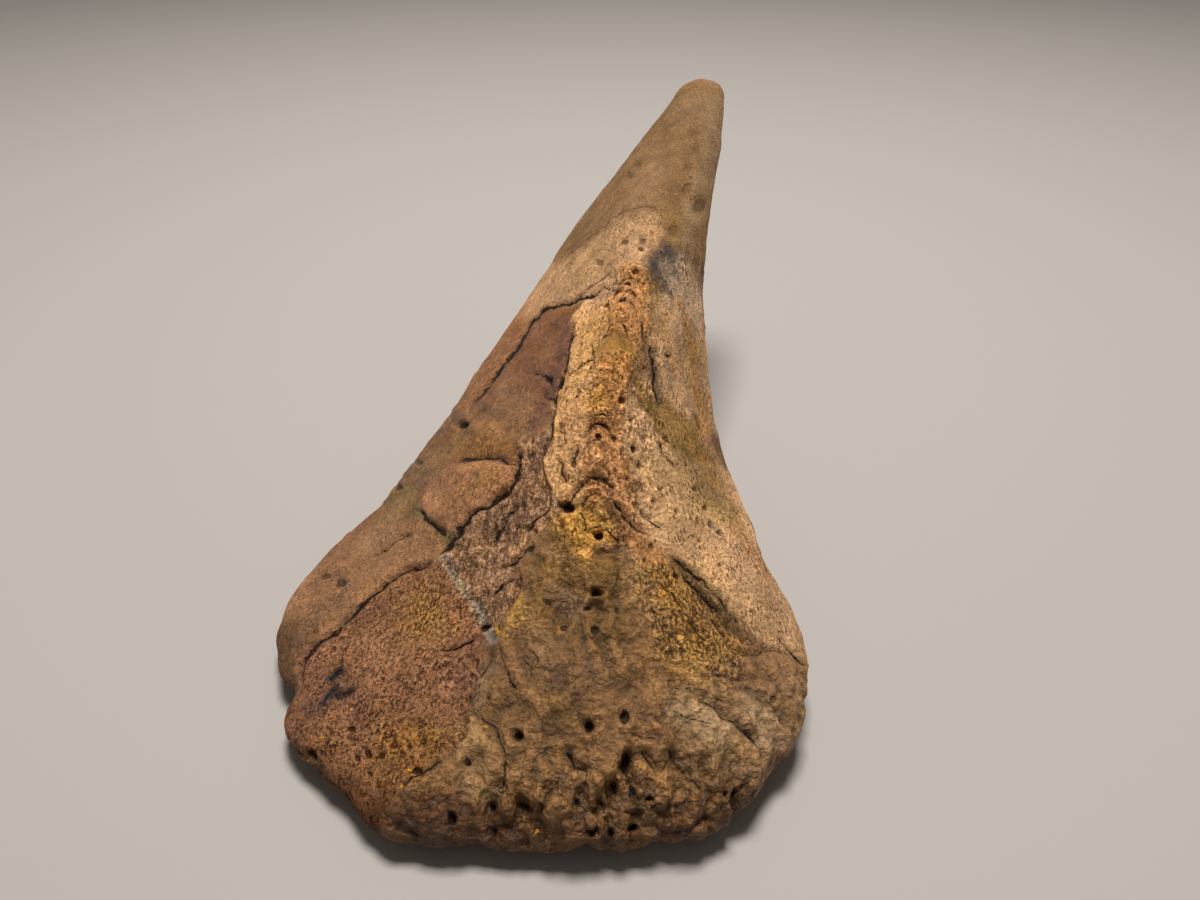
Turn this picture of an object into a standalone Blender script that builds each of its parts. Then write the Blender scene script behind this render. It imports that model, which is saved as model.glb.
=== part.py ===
"""A fossil ankylosaur scute: one bony spike with a broad, hollow-bottomed base, lying as it rests.

Lengths below are in millimetres in the part's own frame: the spike leans away along +Y from the round
base end at -Y, +Z is up, and the origin is under the middle of the whole outline, on the surface it
lies on. The body is a loft. Eight rails run from the foot of the base to the spike's blunt end, the
wall between two rails is flat, and the turn at each rail is rounded. Cracks, pits, ledges, lumps and
notches then move the skin along its own normal.
"""

import bpy
import numpy as np
from mathutils import Vector, noise

MM = 0.001

# Middle of the finished outline, taken off every point so that it stands centred on the origin.
OUTLINE_MIDDLE = (0.45, 0.03)

# How far up the body each point of a rail stands: 0 at the foot, 1 at the end of the spike.
STATIONS = (0, 0.045, 0.14, 0.26, 0.39, 0.53, 0.69, 0.85, 1)
KEEL = (
    (12, -76, 0), (12, -85, 3), (12, -71, 19), (12, -51, 29), (12, -30, 43),
    (16.5, -5, 53), (23.5, 26, 59.5), (31.5, 55, 65.5), (36.5, 79.5, 71),
)
LEFT_FLANK = (
    (-24, -74, 0), (-28, -83, 3.5), (-25, -66, 11), (-19, -46, 18), (-10, -23, 30),
    (-2.5, 5, 36), (11.5, 36, 50.5), (23, 60, 61), (32, 80.5, 69),
)
LEFT_EDGE = (
    (-38, -36, 0), (-48.5, -39, 3.5), (-45.5, -31, 6), (-37.5, -14.5, 6.5), (-31, 4, 9.5),
    (-22, 24, 14.5), (-1, 52, 36), (15, 67, 52), (29, 81.5, 64),
)
LEFT_BACK = (
    (-26, -4, 0), (-31.5, 2, 2), (-29, 7, 4.5), (-25, 13, 7), (-17, 20, 11),
    (-7, 30, 19), (10, 51, 36), (22, 66, 51), (33.5, 82, 63),
)
BACK = (
    (4, 8, 0), (4, 15, 4), (6, 19, 10), (9, 23, 16), (13, 28, 22.5),
    (19, 36, 31), (26, 53, 43.5), (32, 67.5, 54), (38, 82.5, 62.5),
)
RIGHT_BACK = (
    (30, -6, 0), (32, 0, 5), (33, 5, 11), (32.5, 9, 17), (33, 14, 23),
    (33, 23, 32.5), (36, 48, 48), (38.5, 65, 57.5), (41.5, 82, 64),
)
RIGHT_EDGE = (
    (40, -52, 0), (49.7, -55, 6), (47, -47, 12), (43.5, -35, 15), (39, -17, 18),
    (36, 4, 28), (36, 32, 46), (40.7, 56, 58.5), (43.5, 80.5, 66.5),
)
RIGHT_FLANK = (
    (30, -72, 0), (31.5, -82, 3.5), (34, -67, 14), (31, -48, 22), (26.5, -28, 33),
    (26.5, -4, 44.5), (31.5, 27, 54.5), (37.5, 55, 63), (42, 80, 69.5),
)
RAILS = (
    KEEL, LEFT_FLANK, LEFT_EDGE, LEFT_BACK, BACK, RIGHT_BACK, RIGHT_EDGE, RIGHT_FLANK,
)
# Where the rails stand round the body, as a share of one turn that starts and ends at the keel.
TURN_PLACES = (0, 0.17, 0.34, 0.43, 0.52, 0.61, 0.70, 0.85)
TURN_ROUNDING = 0.035
TIP_RISE = 4.5

# Grid: columns round the body in three runs, rows up it in three runs, then the end and the underside.
COLUMNS = ((0, 0.34, 29), (0.34, 0.70, 17), (0.70, 1, 22))
ROWS = ((0, 0.06, 4), (0.06, 0.40, 32), (0.40, 0.62, 13), (0.62, 1, 10))
TIP_ROWS = 4
UNDER_SHARES = (0.9, 0.78, 0.68, 0.54, 0.36, 0.18)
FLAT_SHARE = 0.75
HOLLOW_RISE = 5.0

# (route over the body as X, Y points, half width, depth)
CRACKS = (
    (((-12, 8), (-6, 17), (0, 26), (7, 33)), 2.0, 1.8),
    (((7, 12), (6, 4), (5, -12), (3, -22), (2, -32), (5, -39)), 2.0, 1.4),
    (((-15, -19), (-8, -26), (-3, -30)), 1.8, 1.2),
    (((-3, -26), (-4, -34), (-9, -36), (-15, -38), (-17, -40)), 2.4, 2.6),
    (((-22, -25), (-18, -32), (-16, -37)), 2.0, 1.6),
    (((-31, -30), (-22, -31)), 1.8, 1.0),
    (((-38, -58), (-38, -51), (-33, -46), (-27, -41), (-17, -40)), 2.0, 2.0),
    (((20, -8), (21, -14), (23, -21)), 2.2, 1.9),
    (((10, -38), (14, -41), (20, -44)), 1.9, 1.3),
    (((24, -47), (30, -50), (36, -59)), 1.9, 1.4),
    (((25, -46), (34, -51)), 1.9, 1.2),
    (((41, -53), (46, -56)), 1.8, 1.0),
    (((-9, -49), (-6, -56), (-6, -64)), 2.2, 1.6),
    (((-7, -69), (-3, -73), (-2, -77)), 2.0, 1.3),
    (((-11, -75), (-16, -78)), 2.0, 1.3),
    (((-4, -60), (-2, -64), (-1, -68)), 1.8, 1.2),
    (((9, -67), (6, -69)), 1.8, 1.1),
    (((11, -61), (12, -64)), 1.8, 1.2),
)
# (X, Y, radius, depth)
PITS = (
    (12, -46, 2.2, 2.6), (6, -42, 1.7, 1.6), (16, -25, 1.7, 1.4), (18, -32, 1.7, 1.4),
    (11, -55, 1.9, 1.9), (10, -57, 1.6, 1.2), (0, -73, 1.9, 2.0), (-7, -76, 1.7, 1.4),
    (-15, -77, 1.9, 1.6), (-9, -82, 1.7, 1.3), (10, -73, 2.0, 2.2), (16, -72, 2.1, 2.3),
    (16, -77.5, 2.4, 2.8), (14, -80, 2.0, 1.9), (18, -80.5, 1.9, 1.7), (9, -82, 1.8, 1.5),
    (17, -84, 1.8, 1.4), (23, -78, 2.6, 1.8), (29, -76, 2.4, 1.5), (1, -82, 2.4, 1.3),
    (-4, -82, 2.4, 1.3), (-26, -68, 1.8, 1.1), (-24, -73, 1.8, 1.1), (-19, 2, 2.4, 1.6),
    (6, -57, 2.8, 0.9), (6, -77, 2.2, 1.4), (4, -49, 1.8, 1.0),
)
# (X, Y, radius, height): low domes where positive, broad dips where negative
LUMPS = (
    (12, -68, 6, 1.2), (4, -66, 7, 1.0), (23, -70, 7, 1.1), (8, -79, 4, 1.0), (21, -81, 4, 0.9),
    (-6, -70, 6, 0.9), (-13, -72, 6, 0.9), (-1, -78, 4, 0.8), (29, -68, 6, 0.9),
    (12, -50, 5, 0.8), (14, -35, 5, 0.9), (14, -19, 5, 0.8), (16, -7, 5, 0.9), (22, 9, 6, 0.7),
    (-12, -26, 9, 1.0), (1, -7, 9, 0.9), (-33, -46, 9, 1.1), (-20, -55, 11, 0.8),
    (3, -51, 9, -0.8), (-4, -41, 7, -0.8), (24, -55, 8, -0.6), (26, -33, 7, -0.6),
    (33, -62, 6, 0.9), (-34, -20, 8, 0.8), (-24, -8, 8, -0.7), (27, 20, 9, -0.6),
)
# (X, Y, height on the body, radius, depth): bites out of the rim, and lobes where depth is negative
NOTCHES = (
    (-40, -58, 5, 3.0, 2.6), (-29, -77, 5, 3.0, 1.8), (-6, -84, 2, 2.6, 1.3),
    (10, -85, 3, 2.4, 1.2), (20, -84, 3, 2.6, 1.2), (48, -56, 7, 2.6, 1.0),
    (-38, -64.5, 4, 5.5, -2.4), (37, -70, 5, 6.0, -0.6),
)
# (turn, first height, last height, sway, half width in turn, depth): furrows that blood vessels left
# along the hidden back and sides of the spike
FURROWS = (
    (0.37, 0.22, 0.80, 0.010, 0.010, 0.7), (0.43, 0.30, 0.92, 0.014, 0.011, 0.9),
    (0.49, 0.18, 0.70, 0.012, 0.012, 0.9), (0.55, 0.35, 0.95, 0.010, 0.011, 0.8),
    (0.61, 0.20, 0.66, 0.012, 0.012, 0.9), (0.67, 0.30, 0.85, 0.010, 0.011, 0.8),
    (0.74, 0.45, 0.95, 0.008, 0.011, 0.6), (0.25, 0.62, 0.95, 0.008, 0.010, 0.5),
)
FURROW_FADE = 0.06
# A raised strip runs beside the keel on its left, and a ledge follows the right end of the rim.
STRIP_ROUTE = ((14, 14), (10, -6), (8, -22), (8, -36))
STRIP_HALF_WIDTH = 5.0
STRIP_RISE = 0.9
LEDGE_ROUTE = ((20, -84, 4), (31, -79, 6), (39, -71, 6))
LEDGE_HALF_WIDTH = 2.4
LEDGE_DEPTH = 1.1

LUMP_SIZE = 9.0
LUMP_HEIGHT = 0.75
GRAIN_SIZE = 3.6
GRAIN_HEIGHT = 0.35
SKIN_FADE = 3.0
CRACK_SOFTNESS = 0.9


def clear_scene():
    for thing in list(bpy.data.objects):
        bpy.data.objects.remove(thing, do_unlink=True)


def runs(parts, closed):
    """The places that the runs (start, end, steps) give, without the last one where they close."""
    places = [np.linspace(start, end, steps + 1)[:-1] for start, end, steps in parts]
    if not closed:
        places.append(np.array([parts[-1][1]], float))
    return np.concatenate(places)


def smooth_rail(knots, values, places):
    """Natural cubic curve through values at knots, read at places."""
    count = len(knots)
    gaps = np.diff(knots)
    slopes = np.diff(values, axis=0) / gaps[:, None]
    system = np.eye(count)
    wanted = np.zeros((count, values.shape[1]))
    for i in range(1, count - 1):
        system[i, i - 1:i + 2] = gaps[i - 1], 2 * (gaps[i - 1] + gaps[i]), gaps[i]
        wanted[i] = 6 * (slopes[i] - slopes[i - 1])
    bends = np.linalg.solve(system, wanted)
    at = np.clip(np.searchsorted(knots, places, side="right") - 1, 0, count - 2)
    gap = gaps[at][:, None]
    after = (places - knots[at])[:, None]
    before = gap - after
    curve = (bends[at] * before**3 + bends[at + 1] * after**3) / (6 * gap)
    curve += (values[at] / gap - bends[at] * gap / 6) * before
    return curve + (values[at + 1] / gap - bends[at + 1] * gap / 6) * after


def rail_shares(turns):
    """Each rail's share of a point at a turn: straight walls between rails, blurred at the turns."""
    knots = np.array(TURN_PLACES + (1,))
    shares = np.zeros((len(turns), len(RAILS)))
    steps = np.linspace(-2.5, 2.5, 21)
    blur = np.exp(-steps**2 / 2)
    blur /= blur.sum()
    rows = np.arange(len(turns))
    for step, weight in zip(steps, blur):
        turn = (turns + step * TURN_ROUNDING) % 1
        left = np.clip(np.searchsorted(knots, turn, side="right") - 1, 0, len(RAILS) - 1)
        along = (turn - knots[left]) / (knots[left + 1] - knots[left])
        shares[rows, left] += weight * (1 - along)
        shares[rows, (left + 1) % len(RAILS)] += weight * along
    return shares


def body_rows(turns, heights):
    """Rows of points round the body, from the foot at height 0 to the spike's end at 1."""
    knots = np.array(STATIONS, float)
    rails = [smooth_rail(knots, np.array(rail, float), heights) for rail in RAILS]
    return np.einsum("uk,kvc->vuc", rail_shares(turns), np.array(rails))


def tip_rows(last, before):
    """Rows that close the spike with a low dome over its last row, and the dome's top point."""
    middle = last.mean(axis=0)
    axis = middle - before.mean(axis=0)
    axis /= np.linalg.norm(axis)
    angles = np.linspace(0, np.pi / 2, TIP_ROWS + 2)[1:-1, None, None]
    rows = middle + (last - middle) * np.cos(angles) + axis * TIP_RISE * np.sin(angles)
    return rows, middle + axis * TIP_RISE


def under_rows(foot):
    """Rows inward from the foot: a flat ring to rest on, then a shallow hollow, and its middle."""
    middle = foot.mean(axis=0)
    rows = []
    for share in UNDER_SHARES:
        row = middle + (foot - middle) * share
        depth = max(0.0, 1 - share / FLAT_SHARE)
        row[:, 2] = HOLLOW_RISE * np.sin(np.pi / 2 * depth) ** 0.8
        rows.append(row)
    return np.array(rows), middle + np.array((0, 0, HOLLOW_RISE))


def normals(grid):
    """Outward unit normals of a grid of rows round the body."""
    around = np.roll(grid, -1, axis=1) - np.roll(grid, 1, axis=1)
    upward = np.gradient(grid, axis=0)
    across = np.cross(upward, around)
    return across / (np.linalg.norm(across, axis=2, keepdims=True) + 1e-9)


def on_skin(grid, outward, x, y):
    """The grid's upper point that lies nearest to X, Y as seen from above."""
    away = (grid[..., 0] - x) ** 2 + (grid[..., 1] - y) ** 2
    away = np.where(outward[..., 2] > 0.05, away, np.inf)
    return grid[np.unravel_index(np.argmin(away), away.shape)]


def distance(grid, route):
    """Distance of each grid point from a route of straight steps."""
    nearest = np.full(grid.shape[:2], np.inf)
    for start, end in zip(route[:-1], route[1:]):
        step = end - start
        share = np.clip((grid - start) @ step / (step @ step + 1e-9), 0, 1)
        gap = np.linalg.norm(grid - start - share[..., None] * step, axis=2)
        nearest = np.minimum(nearest, gap)
    return nearest


def dome(away, radius):
    """1 at a centre, falling smoothly to 0 at about twice the radius."""
    return np.exp(-((away / radius) ** 2))


def rough_skin(grid, size, height):
    """Smooth noise of the given lump size and height."""
    flat = [noise.noise(Vector(point) / size) for point in grid.reshape(-1, 3)]
    return height * np.array(flat).reshape(grid.shape[:2])


def furrows(turns, heights):
    """Depth of the furrows at each row height and turn, with soft ends and a slight sway."""
    turn, height = np.meshgrid(turns, heights)
    depths = np.zeros(turn.shape)
    for place, first, last, sway, half_width, depth in FURROWS:
        course = place + sway * np.sin(2 * np.pi * (height - first) / (last - first))
        ends = np.clip((height - first) / FURROW_FADE, 0, 1) * np.clip((last - height) / FURROW_FADE, 0, 1)
        depths += depth * ends * dome(turn - course, half_width)
    return depths


def relief(grid, outward):
    """How far each point of the skin moves out or in."""
    rise = rough_skin(grid, LUMP_SIZE, LUMP_HEIGHT) + rough_skin(grid, GRAIN_SIZE, GRAIN_HEIGHT)
    strip = [on_skin(grid, outward, *place) for place in STRIP_ROUTE]
    rise += STRIP_RISE * dome(distance(grid, strip), STRIP_HALF_WIDTH)
    for x, y, radius, height in LUMPS:
        centre = on_skin(grid, outward, x, y)
        rise += height * dome(np.linalg.norm(grid - centre, axis=2), radius)
    for route, half_width, depth in CRACKS:
        course = [on_skin(grid, outward, *place) for place in route]
        rise -= depth * dome(distance(grid, course), half_width * CRACK_SOFTNESS)
    for x, y, radius, depth in PITS:
        centre = on_skin(grid, outward, x, y)
        rise -= depth * dome(np.linalg.norm(grid - centre, axis=2), radius)
    for x, y, z, radius, depth in NOTCHES:
        rise -= depth * dome(np.linalg.norm(grid - np.array((x, y, z)), axis=2), radius)
    ledge = [np.array(place, float) for place in LEDGE_ROUTE]
    rise -= LEDGE_DEPTH * dome(distance(grid, ledge), LEDGE_HALF_WIDTH)
    return rise * np.clip(grid[..., 2] / SKIN_FADE, 0, 1)


def scute_grid():
    """All rows of points from the underside's inner row to the spike's end, and the two poles."""
    turns = runs(COLUMNS, closed=True)
    heights = runs(ROWS, closed=False)
    rows = body_rows(turns, heights)
    end_rows, tip = tip_rows(rows[-1], rows[-2])
    rows = np.concatenate([rows, end_rows])
    heights = np.append(heights, np.ones(TIP_ROWS))
    outward = normals(rows)
    moved = relief(rows, outward) - furrows(turns, heights)
    rows = rows + outward * moved[..., None]
    rows[0, :, 2] = 0
    inner, hollow_top = under_rows(rows[0])
    grid = np.concatenate([inner[::-1], rows])
    shift = np.array((*OUTLINE_MIDDLE, 0.0))
    return grid - shift, hollow_top - shift, tip - shift


def grid_faces(row_count, column_count):
    """Quads between rows, with a fan of triangles to the pole at each end."""
    def index(row, column):
        return row * column_count + column % column_count

    first_pole = row_count * column_count
    faces = []
    for column in range(column_count):
        for row in range(row_count - 1):
            faces.append((
                index(row, column), index(row + 1, column),
                index(row + 1, column + 1), index(row, column + 1),
            ))
        faces.append((first_pole, index(0, column), index(0, column + 1)))
        last = row_count - 1
        faces.append((first_pole + 1, index(last, column + 1), index(last, column)))
    return faces


def bone_material():
    material = bpy.data.materials.new("fossil bone")
    material.use_nodes = True
    shader = material.node_tree.nodes["Principled BSDF"]
    shader.inputs["Base Color"].default_value = (0.30, 0.17, 0.09, 1)
    shader.inputs["Roughness"].default_value = 0.85
    shader.inputs["Metallic"].default_value = 0
    return material


def build_scute():
    grid, hollow_top, tip = scute_grid()
    points = np.vstack([grid.reshape(-1, 3), hollow_top, tip]) * MM
    mesh = bpy.data.meshes.new("scute")
    mesh.from_pydata(points.tolist(), [], grid_faces(*grid.shape[:2]))
    mesh.update()
    mesh.shade_smooth()
    mesh.materials.append(bone_material())
    scute = bpy.data.objects.new("scute", mesh)
    collection = bpy.data.collections.new("ankylosaur scute")
    bpy.context.scene.collection.children.link(collection)
    collection.objects.link(scute)
    return scute


clear_scene()
build_scute()
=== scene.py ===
import functools
import bpy
import numpy as np
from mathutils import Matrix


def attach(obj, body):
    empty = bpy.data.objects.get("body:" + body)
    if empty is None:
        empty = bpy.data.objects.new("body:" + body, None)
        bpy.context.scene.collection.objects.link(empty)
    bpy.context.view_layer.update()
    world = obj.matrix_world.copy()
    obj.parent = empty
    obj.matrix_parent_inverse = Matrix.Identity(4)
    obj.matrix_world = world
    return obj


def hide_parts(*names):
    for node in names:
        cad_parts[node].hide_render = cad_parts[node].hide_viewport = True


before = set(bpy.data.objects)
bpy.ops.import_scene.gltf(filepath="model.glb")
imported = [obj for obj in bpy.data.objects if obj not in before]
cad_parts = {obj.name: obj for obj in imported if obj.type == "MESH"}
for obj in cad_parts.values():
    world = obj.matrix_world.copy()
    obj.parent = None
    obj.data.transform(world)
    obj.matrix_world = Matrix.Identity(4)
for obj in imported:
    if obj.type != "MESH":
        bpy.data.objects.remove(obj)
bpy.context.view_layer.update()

MM = 0.001
# Stands for 'nothing near', in mm or cells.
FAR = 9.0

# ---------------------------------------------------------------- the body's eight rails, in millimetres
# How far up the body each point of a rail stands: 0 at the foot, 1 at the end of the spike.
STATIONS = (0, 0.045, 0.14, 0.26, 0.39, 0.53, 0.69, 0.85, 1)
KEEL = (
    (12, -76, 0), (12, -85, 3), (12, -71, 19), (12, -51, 29), (12, -30, 43),
    (16.5, -5, 53), (23.5, 26, 59.5), (31.5, 55, 65.5), (36.5, 79.5, 71),
)
LEFT_FLANK = (
    (-24, -74, 0), (-28, -83, 3.5), (-25, -66, 11), (-19, -46, 18), (-10, -23, 30),
    (-2.5, 5, 36), (11.5, 36, 50.5), (23, 60, 61), (32, 80.5, 69),
)
LEFT_EDGE = (
    (-38, -36, 0), (-48.5, -39, 3.5), (-45.5, -31, 6), (-37.5, -14.5, 6.5), (-31, 4, 9.5),
    (-22, 24, 14.5), (-1, 52, 36), (15, 67, 52), (29, 81.5, 64),
)
LEFT_BACK = (
    (-26, -4, 0), (-31.5, 2, 2), (-29, 7, 4.5), (-25, 13, 7), (-17, 20, 11),
    (-7, 30, 19), (10, 51, 36), (22, 66, 51), (33.5, 82, 63),
)
BACK = (
    (4, 8, 0), (4, 15, 4), (6, 19, 10), (9, 23, 16), (13, 28, 22.5),
    (19, 36, 31), (26, 53, 43.5), (32, 67.5, 54), (38, 82.5, 62.5),
)
RIGHT_BACK = (
    (30, -6, 0), (32, 0, 5), (33, 5, 11), (32.5, 9, 17), (33, 14, 23),
    (33, 23, 32.5), (36, 48, 48), (38.5, 65, 57.5), (41.5, 82, 64),
)
RIGHT_EDGE = (
    (40, -52, 0), (49.7, -55, 6), (47, -47, 12), (43.5, -35, 15), (39, -17, 18),
    (36, 4, 28), (36, 32, 46), (40.7, 56, 58.5), (43.5, 80.5, 66.5),
)
RIGHT_FLANK = (
    (30, -72, 0), (31.5, -82, 3.5), (34, -67, 14), (31, -48, 22), (26.5, -28, 33),
    (26.5, -4, 44.5), (31.5, 27, 54.5), (37.5, 55, 63), (42, 80, 69.5),
)
RAILS = (
    KEEL, LEFT_FLANK, LEFT_EDGE, LEFT_BACK, BACK, RIGHT_BACK, RIGHT_EDGE, RIGHT_FLANK,
)
# Where the rails stand round the body, as a share of one turn that starts and ends at the keel.
TURN_PLACES = (0, 0.17, 0.34, 0.43, 0.52, 0.61, 0.70, 0.85)
TURN_ROUNDING = 0.035
TIP_RISE = 4.5
OUTLINE_MIDDLE = np.array((0.45, 0.03, 0.0))

# Grid: columns round the body and rows up it, close together where the skin is rich in detail.
COLUMNS = ((0, 0.34, 150), (0.34, 0.70, 58), (0.70, 1, 118))
ROWS = ((0, 0.06, 14), (0.06, 0.40, 150), (0.40, 0.62, 62), (0.62, 1, 52))
TIP_ROWS = 8
UNDER_SHARES = (
    0.97, 0.92, 0.86, 0.80, 0.75, 0.72, 0.68, 0.63, 0.57, 0.50, 0.42, 0.33, 0.23, 0.12,
)
FLAT_SHARE = 0.75
HOLLOW_RISE = 5.0
GRAIN_STRETCH = 2.6

# ---------------------------------------------------------------- the eye that the skin's marks are drawn for
# Marks are placed by the point of a 1200 x 900 picture plane under which they lie.
PICTURE_WIDTH = 1200
PICTURE_MIDDLE = (600, 450)
FOCAL = 900.0
EYE = np.array((12.0, -158.0, 125.0)) - OUTLINE_MIDDLE
PITCH = np.radians(35.0)
SENSOR_MM = 36.0
# Marks fade in from the first to the second of these cosines between the skin's normal and the eye.
SHOWN_FACING = (-0.05, 0.12)


# ---------------------------------------------------------------- noise
def lattice(x, y, z, seed):
    """A fixed random number from 0 to 1 for each whole-number place, by mixing its coordinates' bits."""
    mixed = (x * 374761393 + y * 668265263 + z * 1442695041 + seed * 1274126177) & 0xFFFFFFFF
    mixed = ((mixed ^ (mixed >> 13)) * 1103515245 + 12345) & 0xFFFFFFFF
    mixed = ((mixed ^ (mixed >> 16)) * 2654435761) & 0xFFFFFFFF
    return (mixed ^ (mixed >> 15)) / 4294967296.0


def swell(points, size, seed):
    """Smooth noise from -1 to 1: random numbers on a cubic lattice of the given size, blended between its
    corners by the curve t*t*t*(6t*t - 15t + 10)."""
    scaled = points / size
    low = np.floor(scaled).astype(np.int64)
    t = scaled - low
    t = t * t * t * (t * (6 * t - 15) + 10)
    total = np.zeros(points.shape[:-1])
    for corner in range(8):
        step = np.array((corner & 1, corner >> 1 & 1, corner >> 2 & 1))
        share = np.prod(np.where(step, t, 1 - t), axis=-1)
        place = low + step
        total += share * lattice(place[..., 0], place[..., 1], place[..., 2], seed)
    return 2 * total - 1


def layers(points, size, seed, count=4, fade=0.5):
    """A sum of swells, each of half the size and a fixed share of the height of the one before."""
    total = np.zeros(points.shape[:-1])
    height, full = 1.0, 0.0
    for layer in range(count):
        total += height * swell(points, size / 2**layer, seed + layer)
        full += height
        height *= fade
    return total / full


def ridges(points, size, seed, count=3):
    """Creased noise from 0 to 1: one less the size of a swell, so that it peaks in winding lines."""
    total = np.zeros(points.shape[:-1])
    for layer in range(count):
        total += 0.5**layer * (1 - np.abs(swell(points, size / 2**layer, seed + layer)) * 1.6)
    return np.clip(total / 1.75, 0, 1)


def nearby(points, size, seed):
    """For each of the 27 cells of the given size round every point: the offset from the cell's one random
    place to the point, in cells, and the cell's whole-number place."""
    scaled = points / size
    home = np.floor(scaled).astype(np.int64)
    for step in np.ndindex(3, 3, 3):
        cell = home + np.array(step) - 1
        place = np.moveaxis(cell, -1, 0)
        middle = np.stack([lattice(*place, seed + k) for k in range(3)], axis=-1)
        yield scaled - cell - middle, place


def pores(points, size, seed, density, radii):
    """Small round pits scattered one or none to a cell of the given size: 1 at a pit's middle, 0 outside
    it. A cell has a pit where its random number is under density, with a radius between the two given."""
    deepest = np.zeros(points.shape[:-1])
    for offset, place in nearby(points, size, seed):
        gap = np.linalg.norm(offset, axis=-1) * size
        radius = radii[0] + (radii[1] - radii[0]) * lattice(*place, seed + 4) ** 2
        deepest = np.maximum(deepest, np.where(lattice(*place, seed + 3) < density, 1 - gap / radius, 0))
    return np.clip(deepest, 0, 1)


def fissures(points, size, seed):
    """Lines between the cells of a scatter of points, one to a cube of the given size: 1 on a line, where
    the two nearest points are as far off as each other, and 0 from a fifth of a cell away."""
    first = np.full(points.shape[:-1], FAR)
    second = first.copy()
    for offset, _ in nearby(points, size, seed):
        gap = np.linalg.norm(offset, axis=-1)
        second = np.minimum(second, np.maximum(first, gap))
        first = np.minimum(first, gap)
    return np.clip(1 - (second - first) / 0.2, 0, 1)


def knolls(points, size, seed):
    """Rounded bumps with creases between them, 0 to 1: one less the square of the distance to the nearest of
    a scatter of points, one to a cube of the given size."""
    first = np.full(points.shape[:-1], FAR)
    for offset, _ in nearby(points, size, seed):
        first = np.minimum(first, (offset**2).sum(axis=-1))
    return np.clip(1 - first, 0, 1)


def sway(noise, width, points, size, seed, *rest):
    """Columns of one kind of noise, each from its own seed, to move places by."""
    return np.stack([noise(points, size, seed + k, *rest) for k in range(width)], axis=1)


def smooth(low, high, values):
    """0 below low, 1 above high, and an easy rise between them."""
    t = np.clip((values - low) / (high - low), 0, 1)
    return t * t * (3 - 2 * t)


def bell(distance):
    """1 at distance 0, falling off as exp(-distance squared)."""
    return np.exp(-(distance**2))


def fade_ends(along, share):
    """1 along a route, falling to 0 at both its ends over a share of its length."""
    return smooth(0, share, along) * smooth(0, share, 1 - along)


# ---------------------------------------------------------------- the body's loft
def runs(parts, closed):
    """The places that the runs (start, end, steps) give, without the last one where they close."""
    places = [np.linspace(start, end, steps + 1)[:-1] for start, end, steps in parts]
    if not closed:
        places.append(np.array([parts[-1][1]], float))
    return np.concatenate(places)


def smooth_rail(knots, values, places):
    """Natural cubic curve through values at knots, read at places."""
    count = len(knots)
    gaps = np.diff(knots)
    slopes = np.diff(values, axis=0) / gaps[:, None]
    system = np.eye(count)
    wanted = np.zeros((count, values.shape[1]))
    for i in range(1, count - 1):
        system[i, i - 1:i + 2] = gaps[i - 1], 2 * (gaps[i - 1] + gaps[i]), gaps[i]
        wanted[i] = 6 * (slopes[i] - slopes[i - 1])
    bends = np.linalg.solve(system, wanted)
    at = np.clip(np.searchsorted(knots, places, side="right") - 1, 0, count - 2)
    gap = gaps[at][:, None]
    after = (places - knots[at])[:, None]
    before = gap - after
    curve = (bends[at] * before**3 + bends[at + 1] * after**3) / (6 * gap)
    curve += (values[at] / gap - bends[at] * gap / 6) * before
    return curve + (values[at + 1] / gap - bends[at + 1] * gap / 6) * after


def rail_shares(turns):
    """Each rail's share of a point at a turn: straight walls between rails, blurred at the turns."""
    knots = np.array(TURN_PLACES + (1,))
    shares = np.zeros((len(turns), len(RAILS)))
    steps = np.linspace(-2.5, 2.5, 21)
    blur = np.exp(-steps**2 / 2)
    blur /= blur.sum()
    rows = np.arange(len(turns))
    for step, weight in zip(steps, blur):
        turn = (turns + step * TURN_ROUNDING) % 1
        left = np.clip(np.searchsorted(knots, turn, side="right") - 1, 0, len(RAILS) - 1)
        along = (turn - knots[left]) / (knots[left + 1] - knots[left])
        shares[rows, left] += weight * (1 - along)
        shares[rows, (left + 1) % len(RAILS)] += weight * along
    return shares


def body_rows(turns, heights):
    """Rows of points round the body, from the foot at height 0 to the spike's end at 1: each point is the
    sum of the eight rails' points at its height, weighed by the rails' shares at its turn."""
    knots = np.array(STATIONS, float)
    rails = [smooth_rail(knots, np.array(rail, float), heights) for rail in RAILS]
    return np.einsum("uk,kvc->vuc", rail_shares(turns), np.array(rails))


def tip_rows(last, before):
    """Rows that close the spike with a quarter ellipse over its last row, and its top point."""
    middle = last.mean(axis=0)
    axis = middle - before.mean(axis=0)
    axis /= np.linalg.norm(axis)
    angles = np.linspace(0, np.pi / 2, TIP_ROWS + 2)[1:-1, None, None]
    rows = middle + (last - middle) * np.cos(angles) + axis * TIP_RISE * np.sin(angles)
    return rows, middle + axis * TIP_RISE


def under_rows(foot):
    """Rows inward from the foot: a flat ring to rest on, then a hollow that rises as the sine of the way
    in, with lumps of spongy bone, and the hollow's middle point."""
    middle = foot.mean(axis=0)
    rows = []
    for share in UNDER_SHARES:
        row = middle + (foot - middle) * share
        depth = max(0.0, 1 - share / FLAT_SHARE)
        row[:, 2] = HOLLOW_RISE * np.sin(np.pi / 2 * depth) ** 0.8
        if depth > 0:
            row[:, 2] += 0.5 * min(1, depth * 6) * layers(row, 5.0, 71)
        rows.append(row)
    return np.array(rows), middle + np.array((0, 0, HOLLOW_RISE))


def normals(grid):
    """Outward unit normals of a grid of rows round the body: the cross product of its two steps."""
    around = np.roll(grid, -1, axis=1) - np.roll(grid, 1, axis=1)
    upward = np.gradient(grid, axis=0)
    across = np.cross(upward, around)
    return across / (np.linalg.norm(across, axis=2, keepdims=True) + 1e-9)


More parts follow.
